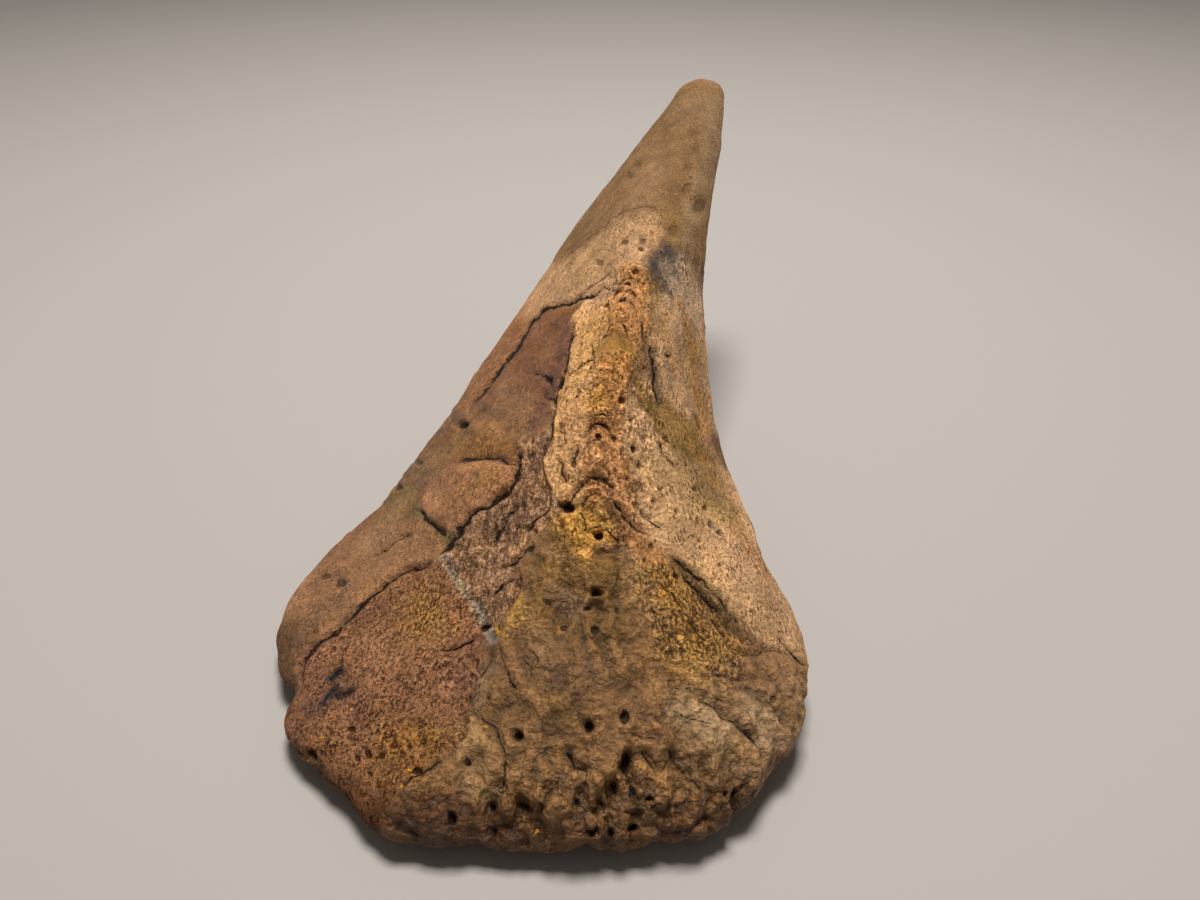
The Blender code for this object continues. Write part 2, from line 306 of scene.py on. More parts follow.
# ---------------------------------------------------------------- from the picture plane to the skin
def seen_at(points):
    """Picture-plane place of each point, which is its sideways and downward offset from the eye's axis over
    its depth along that axis, and that depth."""
    away = points - EYE
    depth = away[..., 1] * np.cos(PITCH) - away[..., 2] * np.sin(PITCH)
    downward = -away[..., 2] * np.cos(PITCH) - away[..., 1] * np.sin(PITCH)
    x = PICTURE_MIDDLE[0] + FOCAL * away[..., 0] / depth
    y = PICTURE_MIDDLE[1] + FOCAL * downward / depth
    return np.stack([x, y], axis=-1), depth


def pairs(flat):
    """Places on the picture plane from a run of x, y, x, y and so on."""
    return np.array(flat, float).reshape(-1, 2)


class Skin:
    """The body's skin as flat arrays: points, outward normals, picture places, the millimetres across the
    line of sight that one unit of the picture plane spans, how far the skin faces the eye, and how far its
    marks show. The picture places are also kept shaken by fine noise, for cracks and pits, but steadier where
    the skin turns away, and warped by broad noise, for patches."""

    def __init__(self, rows, outward):
        self.shape = rows.shape[:2]
        self.points = rows.reshape(-1, 3)
        self.outward = outward.reshape(-1, 3)
        self.seen, depth = seen_at(self.points)
        self.span = depth / FOCAL
        toward = EYE - self.points
        toward /= np.linalg.norm(toward, axis=1, keepdims=True)
        self.facing = np.einsum("ij,ij->i", toward, self.outward)
        self.shown = smooth(*SHOWN_FACING, self.facing)
        steady = np.clip(2 * self.facing, 0.25, 1)[:, None]
        fine = 1.5 * sway(swell, 2, self.points, 2.6, 2) + 0.8 * sway(swell, 2, self.points, 1.1, 6)
        self.shaken = self.seen + steady * fine
        self.warped = self.seen + 4.5 * sway(layers, 2, self.points, 5.0, 13, 4)

    def under(self, place):
        """The skin's point that lies under a place of the picture plane."""
        gap = np.where(self.facing[:, None] > 0.02, self.seen - np.array(place, float), np.inf)
        return self.points[np.argmin((gap**2).sum(axis=1))]

    def near(self, route, reach):
        """Indices of the points that face the eye and lie in the route's box, grown by reach all round."""
        low, high = route.min(axis=0) - reach, route.max(axis=0) + reach
        in_box = np.all((self.shaken > low) & (self.shaken < high), axis=1)
        return np.flatnonzero(in_box & (self.facing > 0))


# ---------------------------------------------------------------- cracks, pits and lumps
# Routes and outlines below are runs of x, y, x, y and so on over the picture plane.
# Seams and edges that more than one of them follows.
RIM_SEAM = (304, 660, 336, 633, 360, 606, 407, 570)
PINK_EDGE = (*RIM_SEAM, 440, 556, 451, 578, 470, 596, 484, 626, 480, 677, 474, 713, 470, 740, 446, 759,
    405, 791, 385, 812)
BARK_EDGE = (541, 460, 548, 487, 562, 502, 552, 522, 532, 538, 517, 563, 523, 582, 511, 607, 498, 634,
    484, 626, 468, 596, 450, 578, 440, 560, 451, 536)
SPIKE_SEAM = (574, 252, 590, 237, 604, 227, 612, 218, 630, 210, 650, 207, 659, 213)
# A worn crack is a soft furrow: its slit is this share as wide.
WORN = 0.4
# How far a crack, pit or spot may reach, in picture-plane units for each mm of its width, and what every one
# may reach besides.
WIDE_REACH = 24
SPOT_REACH = 14
LEAST_REACH = 10
# Each crack: its route, half width and depth in mm.
CRACKS = (
    # Left side: the edges of its plates, its crease and the seam that bounds the pink bone.
    ((468, 410, 480, 393, 494, 375, 507, 357, 519, 341, 531, 321, 542, 309, 557, 304, 569, 302, 580, 298,
     591, 295, 603, 287, 614, 291), 0.5, 1.4),
    ((571, 318, 572, 331, 567, 343, 565, 368, 556, 394, 552, 420, 548, 434, 541, 460, 545, 475, 548, 486,
     556, 496), 0.4, 1.2),
    ((597, 360, 586, 363, 575, 370, 567, 377), 0.36, 0.9), ((594, 346, 593, 354, 597, 360), 0.29, 0.6),
    ((530, 371, 538, 372, 544, 375, 550, 381, 553, 386), 0.43, 0.9),
    ((543, 393, 548, 396, 554, 402), 0.43, 0.9),
    ((458, 463, 472, 461, 485, 459, 497, 457, 507, 462, 517, 464), 0.36, 0.9),
    ((514, 443, 518, 462, 514, 478, 507, 490, 497, 496, 486, 507, 470, 517, 459, 525, 451, 536, 444, 548,
     432, 555), 0.56, 2.2),
    ((418, 510, 428, 521, 436, 528, 445, 535), 0.48, 1.4),
    ((373, 557, 386, 549, 400, 538, 413, 534), 0.5, 0.9, WORN),
    ((297, 690, 299, 676, 304, 660, 315, 647, 327, 639, 336, 633, 343, 622, 359, 606, 375, 593, 390, 580,
     407, 570, 423, 564, 432, 558), 0.46, 1.7),
    ((374, 638, 382, 628, 392, 620, 398, 612), 0.36, 0.6, WORN),
    ((443, 652, 455, 648, 465, 643, 475, 639), 0.4, 0.8), ((414, 656, 425, 662, 432, 664), 0.25, 0.5, WORN),
    ((480, 678, 485, 670, 490, 661, 493, 652), 0.58, 1.2, WORN),
    ((473, 712, 480, 717, 488, 723, 499, 731, 504, 744, 507, 758), 0.32, 1.1),
    ((447, 758, 440, 763, 432, 770, 425, 775, 411, 782, 404, 790), 0.43, 1.1),
    # Keel and right side.
    ((501, 650, 506, 656, 509, 671, 515, 686, 522, 692), 0.4, 0.8),
    ((587, 476, 595, 480, 603, 479, 610, 484, 617, 485), 0.4, 1.4),
    ((611, 487, 613, 498, 620, 509, 628, 521, 639, 528, 649, 535), 0.4, 1.1),
    ((650, 345, 653, 360, 656, 374, 659, 388, 662, 404), 0.5, 1.4),
    ((640, 322, 644, 338, 650, 348), 0.32, 0.8), ((661, 441, 666, 453, 672, 462, 679, 469), 0.58, 0.9, WORN),
    ((694, 414, 697, 420, 702, 430), 0.29, 0.6, WORN),
    ((672, 558, 693, 571, 707, 582, 722, 596, 732, 610), 0.43, 1),
    ((682, 574, 703, 592, 716, 605, 728, 615), 0.36, 0.8),
    ((712, 615, 720, 626, 733, 645, 744, 654, 752, 658), 0.47, 0.9, WORN),
    ((777, 636, 786, 646, 797, 658, 806, 668), 0.32, 0.8),
    ((741, 648, 752, 656, 774, 650, 790, 656), 0.5, 0.7, WORN),
    # Base.
    ((673, 713, 681, 718, 690, 721, 709, 728), 0.22, 0.5), ((594, 634, 596, 643, 600, 651), 0.4, 0.9, WORN),
    ((598, 634, 602, 644, 607, 652), 0.29, 0.5, WORN), ((492, 792, 502, 793, 511, 791), 0.36, 0.8),
    ((393, 826, 402, 830, 410, 832, 420, 836), 0.36, 0.7),
    ((664, 836, 683, 828, 705, 818, 722, 807, 733, 798, 743, 788, 755, 774), 0.4, 0.7, WORN),
    ((648, 808, 655, 803, 662, 801), 0.36, 0.8), ((672, 803, 678, 808, 684, 800), 0.36, 0.7),
    ((571, 302, 583, 291, 600, 280, 612, 270), 0.25, 0.4),
    # Splits of the bark and of the mustard skin, and layers on the right.
    ((548, 505, 540, 514, 531, 520, 524, 531), 0.36, 0.8),
    ((535, 545, 524, 551, 512, 560, 500, 566), 0.36, 0.8),
    ((520, 503, 508, 514, 498, 527, 489, 541), 0.32, 0.7), ((512, 575, 501, 583, 488, 594), 0.32, 0.7),
    ((520, 520, 514, 530, 505, 545, 492, 556), 0.29, 0.6), ((664, 585, 674, 595, 682, 607), 0.29, 0.6),
    ((690, 620, 698, 632, 709, 640), 0.32, 0.6), ((650, 606, 660, 618, 666, 632), 0.29, 0.5),
    ((668, 688, 684, 690, 700, 694, 716, 700, 728, 703), 0.36, 1, WORN),
    ((690, 699, 708, 708, 724, 720, 738, 727, 749, 736, 758, 749), 0.3, 1.2),
    ((700, 668, 716, 676, 731, 678, 747, 680), 0.26, 0.7, WORN),
    ((756, 694, 768, 704, 776, 716, 782, 726), 0.3, 0.8, WORN),
    ((664, 744, 676, 762, 690, 780, 700, 792), 0.32, 0.9),
    # Foot of the base.
    ((507, 758, 506, 774, 504, 786, 511, 790), 0.34, 1.1), ((498, 790, 495, 802, 492, 814), 0.42, 1.3, WORN),
    ((515, 804, 524, 806, 534, 812), 0.42, 1.2, WORN),
    ((562, 774, 555, 786, 543, 803, 539, 818), 0.34, 1, WORN),
    ((573, 775, 566, 790, 559, 804), 0.32, 1, WORN), ((586, 776, 583, 792, 574, 806), 0.36, 1.1, WORN),
    ((566, 750, 570, 759, 577, 767, 589, 772), 0.85, 2.6, WORN),
    ((623, 758, 627, 776, 633, 788, 636, 800), 0.8, 2.2, WORN), ((609, 783, 613, 790, 617, 797), 0.4, 1.1),
    ((611, 806, 622, 811, 634, 813, 648, 809), 0.34, 1.1, WORN),
    ((601, 813, 607, 821, 612, 831), 0.46, 1.2, WORN), ((586, 832, 594, 829, 600, 833), 0.4, 1.2),
    ((583, 676, 574, 687, 563, 694, 552, 695), 0.28, 0.8, WORN), ((531, 652, 537, 657, 541, 665), 0.3, 0.9),
    ((524, 660, 530, 666, 536, 672), 0.26, 0.8), ((632, 716, 642, 722, 655, 724, 664, 732), 0.36, 1.1, WORN),
    ((630, 733, 641, 740, 650, 738, 658, 744), 0.36, 1.1, WORN), ((640, 752, 648, 762, 655, 775), 0.32, 0.9),
    ((446, 736, 456, 742, 460, 750, 452, 757), 0.28, 0.8, WORN),
    ((420, 812, 436, 806, 450, 800, 462, 792), 0.28, 0.8, WORN),
    # Chips of the crest and the seam of the spike's end.
    ((580, 512, 586, 521, 584, 532), 0.28, 0.9), ((606, 526, 612, 536, 622, 541), 0.28, 0.8),
    ((584, 482, 576, 490, 570, 500, 562, 504), 0.36, 1.2),
    ((556, 458, 562, 466, 560, 476, 568, 484), 0.28, 0.9),
    ((572, 440, 578, 450, 574, 462, 580, 470), 0.24, 0.8), ((559, 430, 566, 436, 564, 446), 0.24, 0.8),
    ((596, 494, 606, 500, 614, 498), 0.28, 0.9), ((632, 500, 644, 512, 652, 520, 662, 530), 0.26, 0.8),
    ((562, 260, *SPIKE_SEAM, 664, 226), 0.3, 0.22),
)
# Each pit: its place, radius and depth in mm, and how drawn out it is down the picture plane.
PITS = (
    (599, 535, 1.05, 2.4, 0.8), (566, 507, 1.1, 2, 0.9), (574, 463, 0.65, 1, 1.3), (622, 400, 0.7, 1.5, 1.2),
    (635, 450, 0.65, 1.4, 1.1), (614, 438, 0.55, 1.1, 1), (598, 438, 0.7, 1.3, 0.9), (597, 594, 0.85, 2, 0.9),
    (586, 609, 0.65, 1.5, 1), (564, 628, 0.7, 1.2, 1.2), (548, 603, 0.55, 1, 1), (595, 632, 0.7, 1.3, 1.1),
    (519, 736, 0.8, 2.4, 1.2), (588, 727, 0.8, 2, 1.4), (624, 718, 0.9, 2, 1.3), (468, 762, 0.6, 1.5, 1.3),
    (419, 771, 0.8, 1.6, 0.8), (453, 819, 0.7, 1.4, 1.6), (626, 764, 0.95, 2.6, 2.1),
    (613, 787, 0.55, 1.5, 1.9), (633, 792, 0.7, 2, 1.7), (648, 796, 0.5, 1.3, 1), (633, 830, 0.75, 1.7, 0.8),
    (611, 832, 0.5, 1.5, 1.6), (592, 833, 0.5, 1.3, 0.8), (577, 803, 0.5, 1.3, 1.8),
    (526, 808, 0.6, 1.3, 0.8), (491, 808, 0.6, 1.3, 1.6), (603, 806, 0.5, 1.1, 1.6),
    (352, 729, 0.6, 1.1, 0.9), (365, 755, 0.7, 1.2, 1.2), (380, 757, 0.6, 1.1, 1), (354, 762, 0.55, 1, 1),
    (394, 744, 0.55, 1, 1.4), (410, 746, 0.45, 0.8, 1.2), (424, 741, 0.45, 0.8, 1), (366, 777, 0.55, 1, 1),
    (308, 757, 0.7, 1, 1.3), (483, 626, 0.95, 2, 1), (491, 700, 0.4, 0.8, 1), (462, 424, 1.2, 1.6, 0.7),
    (548, 378, 0.8, 1.3, 0.8), (552, 398, 0.7, 1.2, 0.8), (669, 356, 0.6, 1, 0.9), (624, 241, 0.9, 0.9, 0.8),
    (642, 238, 0.9, 1, 0.7), (641, 248, 0.7, 0.9, 0.8), (598, 262, 0.8, 0.8, 1), (636, 271, 0.8, 1.2, 0.6),
    (616, 290, 0.9, 1.4, 0.7), (628, 283, 0.9, 1.4, 0.6), (607, 305, 0.9, 1.2, 0.7),
    (695, 489, 0.5, 0.8, 1.2), (706, 506, 0.5, 0.8, 1.2), (711, 523, 0.5, 0.6, 1.3),
    (720, 531, 0.5, 0.6, 1.2), (669, 437, 0.5, 0.8, 1.2), (689, 438, 0.45, 0.7, 1),
    (641, 466, 0.45, 0.8, 1.2), (653, 500, 0.45, 0.8, 1.2), (676, 511, 0.4, 0.7, 1.3),
    (662, 489, 0.4, 0.7, 1), (700, 540, 0.4, 0.7, 1), (676, 575, 0.6, 1, 1), (651, 545, 0.5, 0.9, 1),
    (668, 625, 0.4, 0.8, 1.4), (617, 610, 0.5, 0.9, 1.5), (721, 565, 0.4, 0.6, 1), (646, 560, 0.4, 0.8, 1),
    (628, 478, 0.4, 0.8, 1.2), (632, 420, 0.4, 0.8, 1), (749, 736, 0.6, 1, 0.7), (747, 727, 0.5, 0.9, 1),
    (772, 700, 0.5, 0.8, 1.3), (654, 720, 0.6, 1, 0.8), (662, 716, 0.5, 0.9, 0.8), (688, 168, 1.3, 0.25, 1.2),
    (699, 207, 1.6, 0.45, 1.2), (687, 190, 1.2, 0.3, 1.3), (637, 165, 1.2, 0.25, 1), (630, 177, 1, 0.25, 1.2),
    (642, 200, 1.2, 0.25, 0.8), (692, 135, 1.4, 0.2, 1), (697, 150, 1.2, 0.2, 1.3),
    (673, 232, 1.3, 0.35, 1.3), (342, 583, 1.1, 0.7, 0.7), (327, 577, 1.1, 0.5, 0.7),
    (316, 634, 0.9, 0.5, 0.7), (398, 487, 1, 0.8, 0.7), (418, 462, 1, 0.6, 0.7),
)
# A pit's painted shade and dirt are full where it is this deep, in mm, and its mouth reaches this far
# over the picture plane.
DARK_DEPTH = 1.3
MOUTH_REACH = 9
# Each lump or broad dip: its place, radius and height in mm.
LUMPS = (
    (600, 700, 6, 1), (560, 712, 5, 0.8), (660, 700, 5, 0.8), (565, 790, 4, 0.9), (650, 780, 3.5, 0.8),
    (640, 735, 3, 0.9), (655, 745, 2.5, 0.8), (605, 755, 3, 0.7), (470, 745, 5, 0.7), (430, 800, 6, 0.8),
    (520, 770, 4.5, 0.6), (600, 820, 3, 0.8), (560, 825, 4, 0.7), (480, 835, 4, 0.6), (690, 800, 3.5, 0.7),
    (720, 735, 5, 0.8), (775, 672, 4, 0.7), (745, 760, 3.5, 0.7), (597, 604, 1.4, 0.8), (566, 613, 3, -0.9),
    (580, 660, 4, 0.6), (540, 650, 6, 0.5), (597, 570, 3, 0.7), (545, 570, 4, 0.6), (598, 452, 3, 0.5),
    (597, 415, 3, 0.5), (603, 372, 3, 0.6), (628, 300, 4, 0.7), (630, 262, 3.5, 0.5), (615, 318, 3, 0.5),
    (470, 490, 8, 0.25), (490, 440, 5, 0.5), (330, 600, 8, 0.8), (300, 650, 6, 0.6), (540, 340, 6, -0.6),
    (505, 400, 6, -0.4), (505, 560, 6, -0.7), (480, 600, 5, -0.6), (430, 540, 4, -0.9), (320, 730, 5, 0.8),
    (350, 800, 5, 0.5), (390, 690, 8, 0.5), (440, 620, 7, 0.3), (690, 640, 6, -0.4), (735, 620, 5, -0.6),
    (770, 600, 7, 0.5), (700, 480, 6, 0.3), (670, 400, 4, -0.6), (672, 272, 5, -0.5), (485, 508, 2.5, 0.5),
    (413, 770, 2.2, 0.6), (403, 785, 2.5, 0.7), (586, 716, 3, 0.4), (625, 730, 2, 0.4), (678, 775, 2.6, -1.3),
    (578, 806, 2.3, -1.4), (526, 808, 2, -1.1), (490, 806, 1.7, -1), (750, 738, 2.2, -0.9),
    (725, 762, 2, -0.8), (702, 762, 1.5, -0.7), (722, 710, 1.8, -0.7), (640, 815, 1.6, -0.9),
    (612, 800, 1.5, -0.9), (548, 830, 1.8, -0.7), (660, 812, 1.5, -0.7), (635, 678, 2.2, -1),
    (562, 614, 2.2, -0.8), (586, 722, 2.4, -0.6), (540, 612, 2, 0.6), (556, 590, 2.4, 0.7),
    (530, 625, 2, 0.6),
)
# Each raised fold: its route, half width and height in mm.
FOLDS = (
    ((632, 275, 622, 310, 612, 345, 604, 378, 600, 410, 597, 440, 596, 480, 598, 515), 1.3, 0.7),
    ((577, 598, 588, 618, 592, 645, 600, 672, 604, 695), 0.9, 1.2),
    ((606, 612, 612, 640, 622, 668, 628, 692), 1, 1.1),
    ((528, 588, 514, 618, 510, 650, 522, 690, 545, 712, 572, 700, 583, 672, 578, 640), 1.3, 1.1),
    ((590, 602, 598, 601, 606, 603), 0.5, 0.8), ((556, 622, 566, 634, 577, 628), 0.6, 0.8),
    ((641, 690, 650, 712, 664, 738, 672, 758), 1.2, 1.1), ((616, 724, 624, 728, 634, 722), 0.6, 0.8),
    ((549, 760, 543, 782, 541, 806), 0.8, 1.2), ((568, 775, 562, 796, 560, 818), 0.8, 1.1),
    ((598, 772, 592, 792, 590, 812), 0.8, 1.2), ((622, 742, 614, 764, 604, 780), 0.7, 1.1),
    ((637, 756, 640, 776, 638, 800), 0.8, 1.1), ((478, 770, 474, 790, 478, 815), 0.9, 0.9),
    ((510, 770, 512, 792, 508, 822), 0.8, 0.9), ((660, 770, 664, 790, 658, 812), 0.9, 1.1),
    ((484, 735, 492, 755, 494, 778), 1, 0.8), ((700, 740, 712, 757, 716, 780), 1.1, 0.9),
    ((735, 690, 748, 712, 752, 735), 1.1, 0.8), ((664, 660, 690, 684, 722, 702, 746, 722), 0.9, 0.8),
    ((452, 480, 480, 470, 512, 476), 1.6, 0.4), ((586, 500, 600, 508, 608, 520), 0.9, 0.7),
    ((562, 512, 572, 528, 576, 545), 0.8, 0.8), ((604, 458, 596, 470, 590, 484), 0.9, 0.7),
)
# The keel's crest, from the base up.
KEEL_CREST = (600, 560, 597, 520, 595, 480, 597, 440, 600, 410, 605, 375, 612, 345, 622, 310, 632, 275,
    640, 250, 655, 215, 690, 130, 703, 85)
# Growth arcs that lie across the keel like rings of a horn: picture-plane row and depth in mm.
ARC_ROWS = (
    (276, 0.6), (289, 0.8), (302, 0.7), (314, 0.5), (325, 0.5), (335, 0.5), (356, 0.6), (366, 0.4),
    (375, 0.4), (384, 0.4), (392, 0.4), (400, 0.4), (409, 0.4), (416, 0.5), (425, 0.9), (442, 0.5),
    (478, 0.5), (494, 0.7), (504, 0.5), (515, 0.5), (526, 0.5),
)
ARC_HALF_WIDTH = 3.0
ARC_SAG = 0.055
ARC_REACH = 18
# Half width in mm under which the mesh can't hold a trough.
NARROWEST = 0.44
# Share of a crack's depth that its trough has, share of its width that its dark slit has, and how dark the
# slit's dirt and painted shade are for each mm of depth.
TROUGH_SHARE = 0.5
SLIT_SHARE = 0.48
DIRT_AND_SHADE_PER_DEPTH = 1.4
# Bites out of the rim and lobes on it: place in mm, radius and depth.
NOTCHES = (
    (-40.5, -58, 5, 2.6, 1.9), (-28, -79, 4, 6.5, 3.0), (-33, -72, 4, 3.0, 0.8), (-6, -84.5, 2, 2.0, 1.4),
    (10, -85, 3, 1.8, 1.3), (20, -84, 3, 2.2, 1.2), (48, -56, 7, 2.0, 0.8),
    (-38, -64.5, 4, 5.5, -1.3), (37, -70, 5, 6.0, -0.6), (15, -85, 4, 2.6, -0.1),
)


def along_route(places, route):
    """For each place: its distance from a route of straight steps, on which side of it it lies, and how
    far along the route its nearest point is, from 0 to 1."""
    steps = np.diff(route, axis=0)
    lengths = np.linalg.norm(steps, axis=1) + 1e-6
    starts = np.concatenate([[0], np.cumsum(lengths)])
    best = np.full(len(places), np.inf)
    side = np.zeros(len(places))
    along = np.zeros(len(places))
    for start, step, length, before in zip(route[:-1], steps, lengths, starts):
        offset = places - start
        share = np.clip(offset @ step / length**2, 0, 1)
        gap = np.linalg.norm(offset - share[:, None] * step, axis=1)
        closer = gap < best
        best = np.where(closer, gap, best)
        side = np.where(closer, np.sign(step[0] * offset[:, 1] - step[1] * offset[:, 0]), side)
        along = np.where(closer, (before + share * length) / starts[-1], along)
    return best, side, along


def note_crack(marks, index, line, wide, depth):
    """Keeps the signed distance from a crack's line and its half width, in mm, and its depth, where it is the
    nearest crack so far. The depth fades out a millimetre away, where the next crack may take over."""
    closer = np.abs(line) < np.abs(marks["crack_line"][index])
    index, line = index[closer], line[closer]
    marks["crack_line"][index] = line
    marks["crack_wide"][index] = wide[closer]
    marks["crack_depth"][index] = np.clip(depth[closer], 0, 1) * (1 - smooth(0.55, 0.95, np.abs(line)))


def carve_cracks(skin, marks):
    """Depth of every crack's trough, which falls off as exp(-(distance / width) squared) and is shallower at
    its ends. The dark slit in its middle, as wide as the crack, is left to the finish, which paints dirt and
    shade into it."""
    depths = np.zeros(len(skin.points))
    waver = swell(skin.points, 2.3, 11)
    for places, width, depth, *worn in CRACKS:
        route = pairs(places)
        index = skin.near(route, WIDE_REACH * width + LEAST_REACH)
        gap, side, along = along_route(skin.shaken[index], route)
        gap *= skin.span[index]
        ends = fade_ends(along, 0.12)
        trough = bell(gap / max(width, NARROWEST)) * (0.2 + 0.8 * ends)
        depths[index] = np.maximum(depths[index], TROUGH_SHARE * depth * trough)
        wide = width * SLIT_SHARE * (worn[0] if worn else 1) * (1 + 0.6 * waver[index]) * ends
        note_crack(marks, index, side * gap, wide, np.full(len(gap), DIRT_AND_SHADE_PER_DEPTH * depth))
    return depths


def note_spots(skin, spots):
    """For the nearest of the spots (place, radius in mm, stretch down the plane) to each point: its offset
    across and down the picture plane and its radius, in mm, and how near it is: 1 at the spot and 0 from two
    thirds of a millimetre outside it."""
    offsets = np.full((len(skin.points), 3), FAR)
    nearness = np.zeros(len(skin.points))
    best = np.full(len(skin.points), FAR)
    for x, y, radius, stretch in spots:
        centre = pairs((x, y))
        index = skin.near(centre, (SPOT_REACH * radius + LEAST_REACH) * max(1, stretch))
        offset = (skin.shaken[index] - centre) * (1, 1 / stretch) * skin.span[index, None]
        gap = np.linalg.norm(offset, axis=1)
        nearer = gap < best[index]
        index, offset, gap = index[nearer], offset[nearer], gap[nearer]
        best[index] = gap
        offsets[index] = np.column_stack([offset, np.full(len(index), radius)])
        nearness[index] = 1 - smooth(radius + 0.25, radius + 0.65, gap)
    return offsets, nearness


def sink_pits(skin, marks):
    """Depth of every pit, whose walls fall from 1.3 to 0.35 radii to a flat floor, and height of the lip
    round its low side at 1.75 radii. The finish paints dirt and shade into its mouth, more faintly where it
    is shallow."""
    spots = [(x, y, radius, stretch) for x, y, radius, _, stretch in PITS]
    marks["pit_offset"], marks["pit_near"] = note_spots(skin, spots)
    depths = np.zeros(len(skin.points))
    lips = np.zeros(len(skin.points))
    for x, y, radius, depth, stretch in PITS:
        index = skin.near(pairs((x, y)), WIDE_REACH * radius * max(1, stretch))
        offset = (skin.shaken[index] - (x, y)) * (1, 1 / stretch)
        gap = np.linalg.norm(offset, axis=1) * skin.span[index] / max(radius, NARROWEST)
        depths[index] = np.maximum(depths[index], 0.8 * depth * (1 - smooth(0.35, 1.3, gap)))
        lip = 0.22 * depth * radius * bell((gap - 1.75) / 0.4)
        lips[index] += lip * smooth(-1, 1, offset[:, 1] / radius / 6)
        if depth < DARK_DEPTH:
            mouth = np.flatnonzero(np.hypot(skin.shaken[:, 0] - x, skin.shaken[:, 1] - y) < MOUTH_REACH)
            marks["pit_near"][mouth] *= (depth / DARK_DEPTH) ** 1.3
    return depths, lips


def raise_lumps(skin):
    """Height of every lump and fold, which falls off as exp(-(distance / width) squared)."""
    heights = np.zeros(len(skin.points))
    for x, y, radius, height in LUMPS:
        gap = np.linalg.norm(skin.points - skin.under((x, y)), axis=1)
        heights += height * bell(gap / radius)
    for places, width, height in FOLDS:
        gap, _, along = along_route(skin.shaken, pairs(places))
        heights += height * fade_ends(along, 0.2) * bell(gap * skin.span / width) * (skin.facing > 0)
    return heights


def keel_places(rows):
    """Picture-plane column of the keel's crest at each of the rows given."""
    crest = pairs(KEEL_CREST)[::-1]
    return np.interp(rows, crest[:, 1], crest[:, 0])


def crest_arcs(skin, marks):
    """Depth of the growth arcs: thin troughs, steep above and easy below, that sag from the crest down both
    sides as the square of the distance from it, and fade out there."""
    off = skin.shaken[:, 0] - keel_places(skin.shaken[:, 1])
    fade = bell(off / ARC_REACH) * (skin.facing > 0)
    depths = np.zeros(len(skin.points))
    index = np.flatnonzero(fade > 0.05)
    waver = swell(skin.points, 1.6, 17)
    for row, depth in ARC_ROWS:
        line = (skin.shaken[index, 1] - row - ARC_SAG * off[index] ** 2) / ARC_HALF_WIDTH
        trough = bell(np.where(line > 0, line / 2.4, line))
        depths[index] = np.maximum(depths[index], depth * trough)
        line *= ARC_HALF_WIDTH * skin.span[index]
        note_crack(marks, index, line, 0.5 * (depth - 0.4 + 0.35 * waver[index]) * fade[index], fade[index])
    return depths * fade


# ---------------------------------------------------------------- where each kind of skin lies
# Each kind of skin: the soft edge and the outline of its patch.
SKINS = {
    "rugose": (7, (594, 540, 625, 548, 655, 590, 690, 655, 812, 668, 840, 720, 780, 820, 600, 900, 380, 880,
        385, 810, 405, 790, 446, 758, 470, 740, 474, 712, 482, 676, 494, 650, 498, 634, 511, 607, 523, 582,
        517, 563, 533, 538, 560, 555)),
    "bark": (6, (520, 440, 548, 432, *BARK_EDGE, 470, 518, 497, 497, 512, 480)),
    "crest": (7, (571, 318, 600, 300, 612, 262, 640, 262, 655, 300, 650, 350, 660, 430, 664, 500, 650, 545,
        615, 548, 575, 560, 552, 530, 548, 487, 541, 460, 548, 434, 556, 395, 565, 370)),
    "peach": (6, (520, 340, 556, 262, 590, 238, 620, 212, 660, 213, 667, 245, 648, 275, 616, 300, 580, 302,
        558, 306, 540, 312)),
    "right": (9, (640, 262, 700, 240, 740, 300, 740, 480, 830, 660, 790, 654, 752, 652, 720, 600, 676, 558,
        650, 545, 664, 500, 660, 430, 650, 350, 655, 300)),
    "pink": (6, (296, 694, *PINK_EDGE, 370, 860, 240, 800, 250, 720)),
    "mustard": (9, (628, 556, 676, 562, 720, 600, 752, 655, 735, 690, 690, 680, 660, 650, 640, 600)),
    "lobe": (6, (296, 694, *RIM_SEAM, 440, 556, 452, 535, 470, 517, 497, 496, 514, 480, 520, 440, 552, 432,
        556, 396, 565, 368, 571, 318, 560, 304, 500, 340, 400, 440, 220, 600, 240, 700)),
}
# A smooth wedge set in the crest like a gem, and the ochre cap at the crest's low end.
GEM_SKIN = (596, 356, 604, 342, 617, 331, 630, 340, 636, 354, 622, 350, 608, 356)
GEM_SMOOTHNESS = 0.85
CAP_SKIN = (548, 514, 566, 512, 584, 504, 606, 508, 618, 524, 612, 545, 600, 538, 592, 560, 580, 566,
    566, 540, 552, 528)


def inside(seen, outline, soft, shift=0):
    """1 well inside an outline on the picture plane and 0 well outside it. The signed distance from the
    outline, plus a shift, is eased over the soft width."""
    corners = pairs(outline)
    distance = np.full(len(seen), np.inf)
    crossings = np.zeros(len(seen), bool)
    for start, end in zip(corners, np.roll(corners, -1, axis=0)):
        step = end - start
        offset = seen - start
        share = np.clip(offset @ step / (step @ step), 0, 1)
        distance = np.minimum(distance, np.linalg.norm(offset - share[:, None] * step, axis=1))
        spans = (start[1] > seen[:, 1]) != (end[1] > seen[:, 1])
        rise = step[1] if step[1] else 1e-9
        crossings ^= spans & (seen[:, 0] < start[0] + step[0] * (seen[:, 1] - start[1]) / rise)
    signed = np.where(crossings, distance, -distance)
    return smooth(-soft, soft, signed + shift)


def skin_kinds(skin):
    """Shares of each kind of skin at each point, of the kinds that the eye sees and of the hidden side."""
    kinds = {name: inside(skin.warped, outline, soft) * skin.shown for name, (soft, outline) in SKINS.items()}
    cap = inside(skin.warped, CAP_SKIN, 4) * skin.shown
    kinds["rugose"] *= 1 - cap
    kinds["crest"] = np.maximum(kinds["crest"], cap)
    kinds["hidden"] = 1 - skin.shown
    return kinds


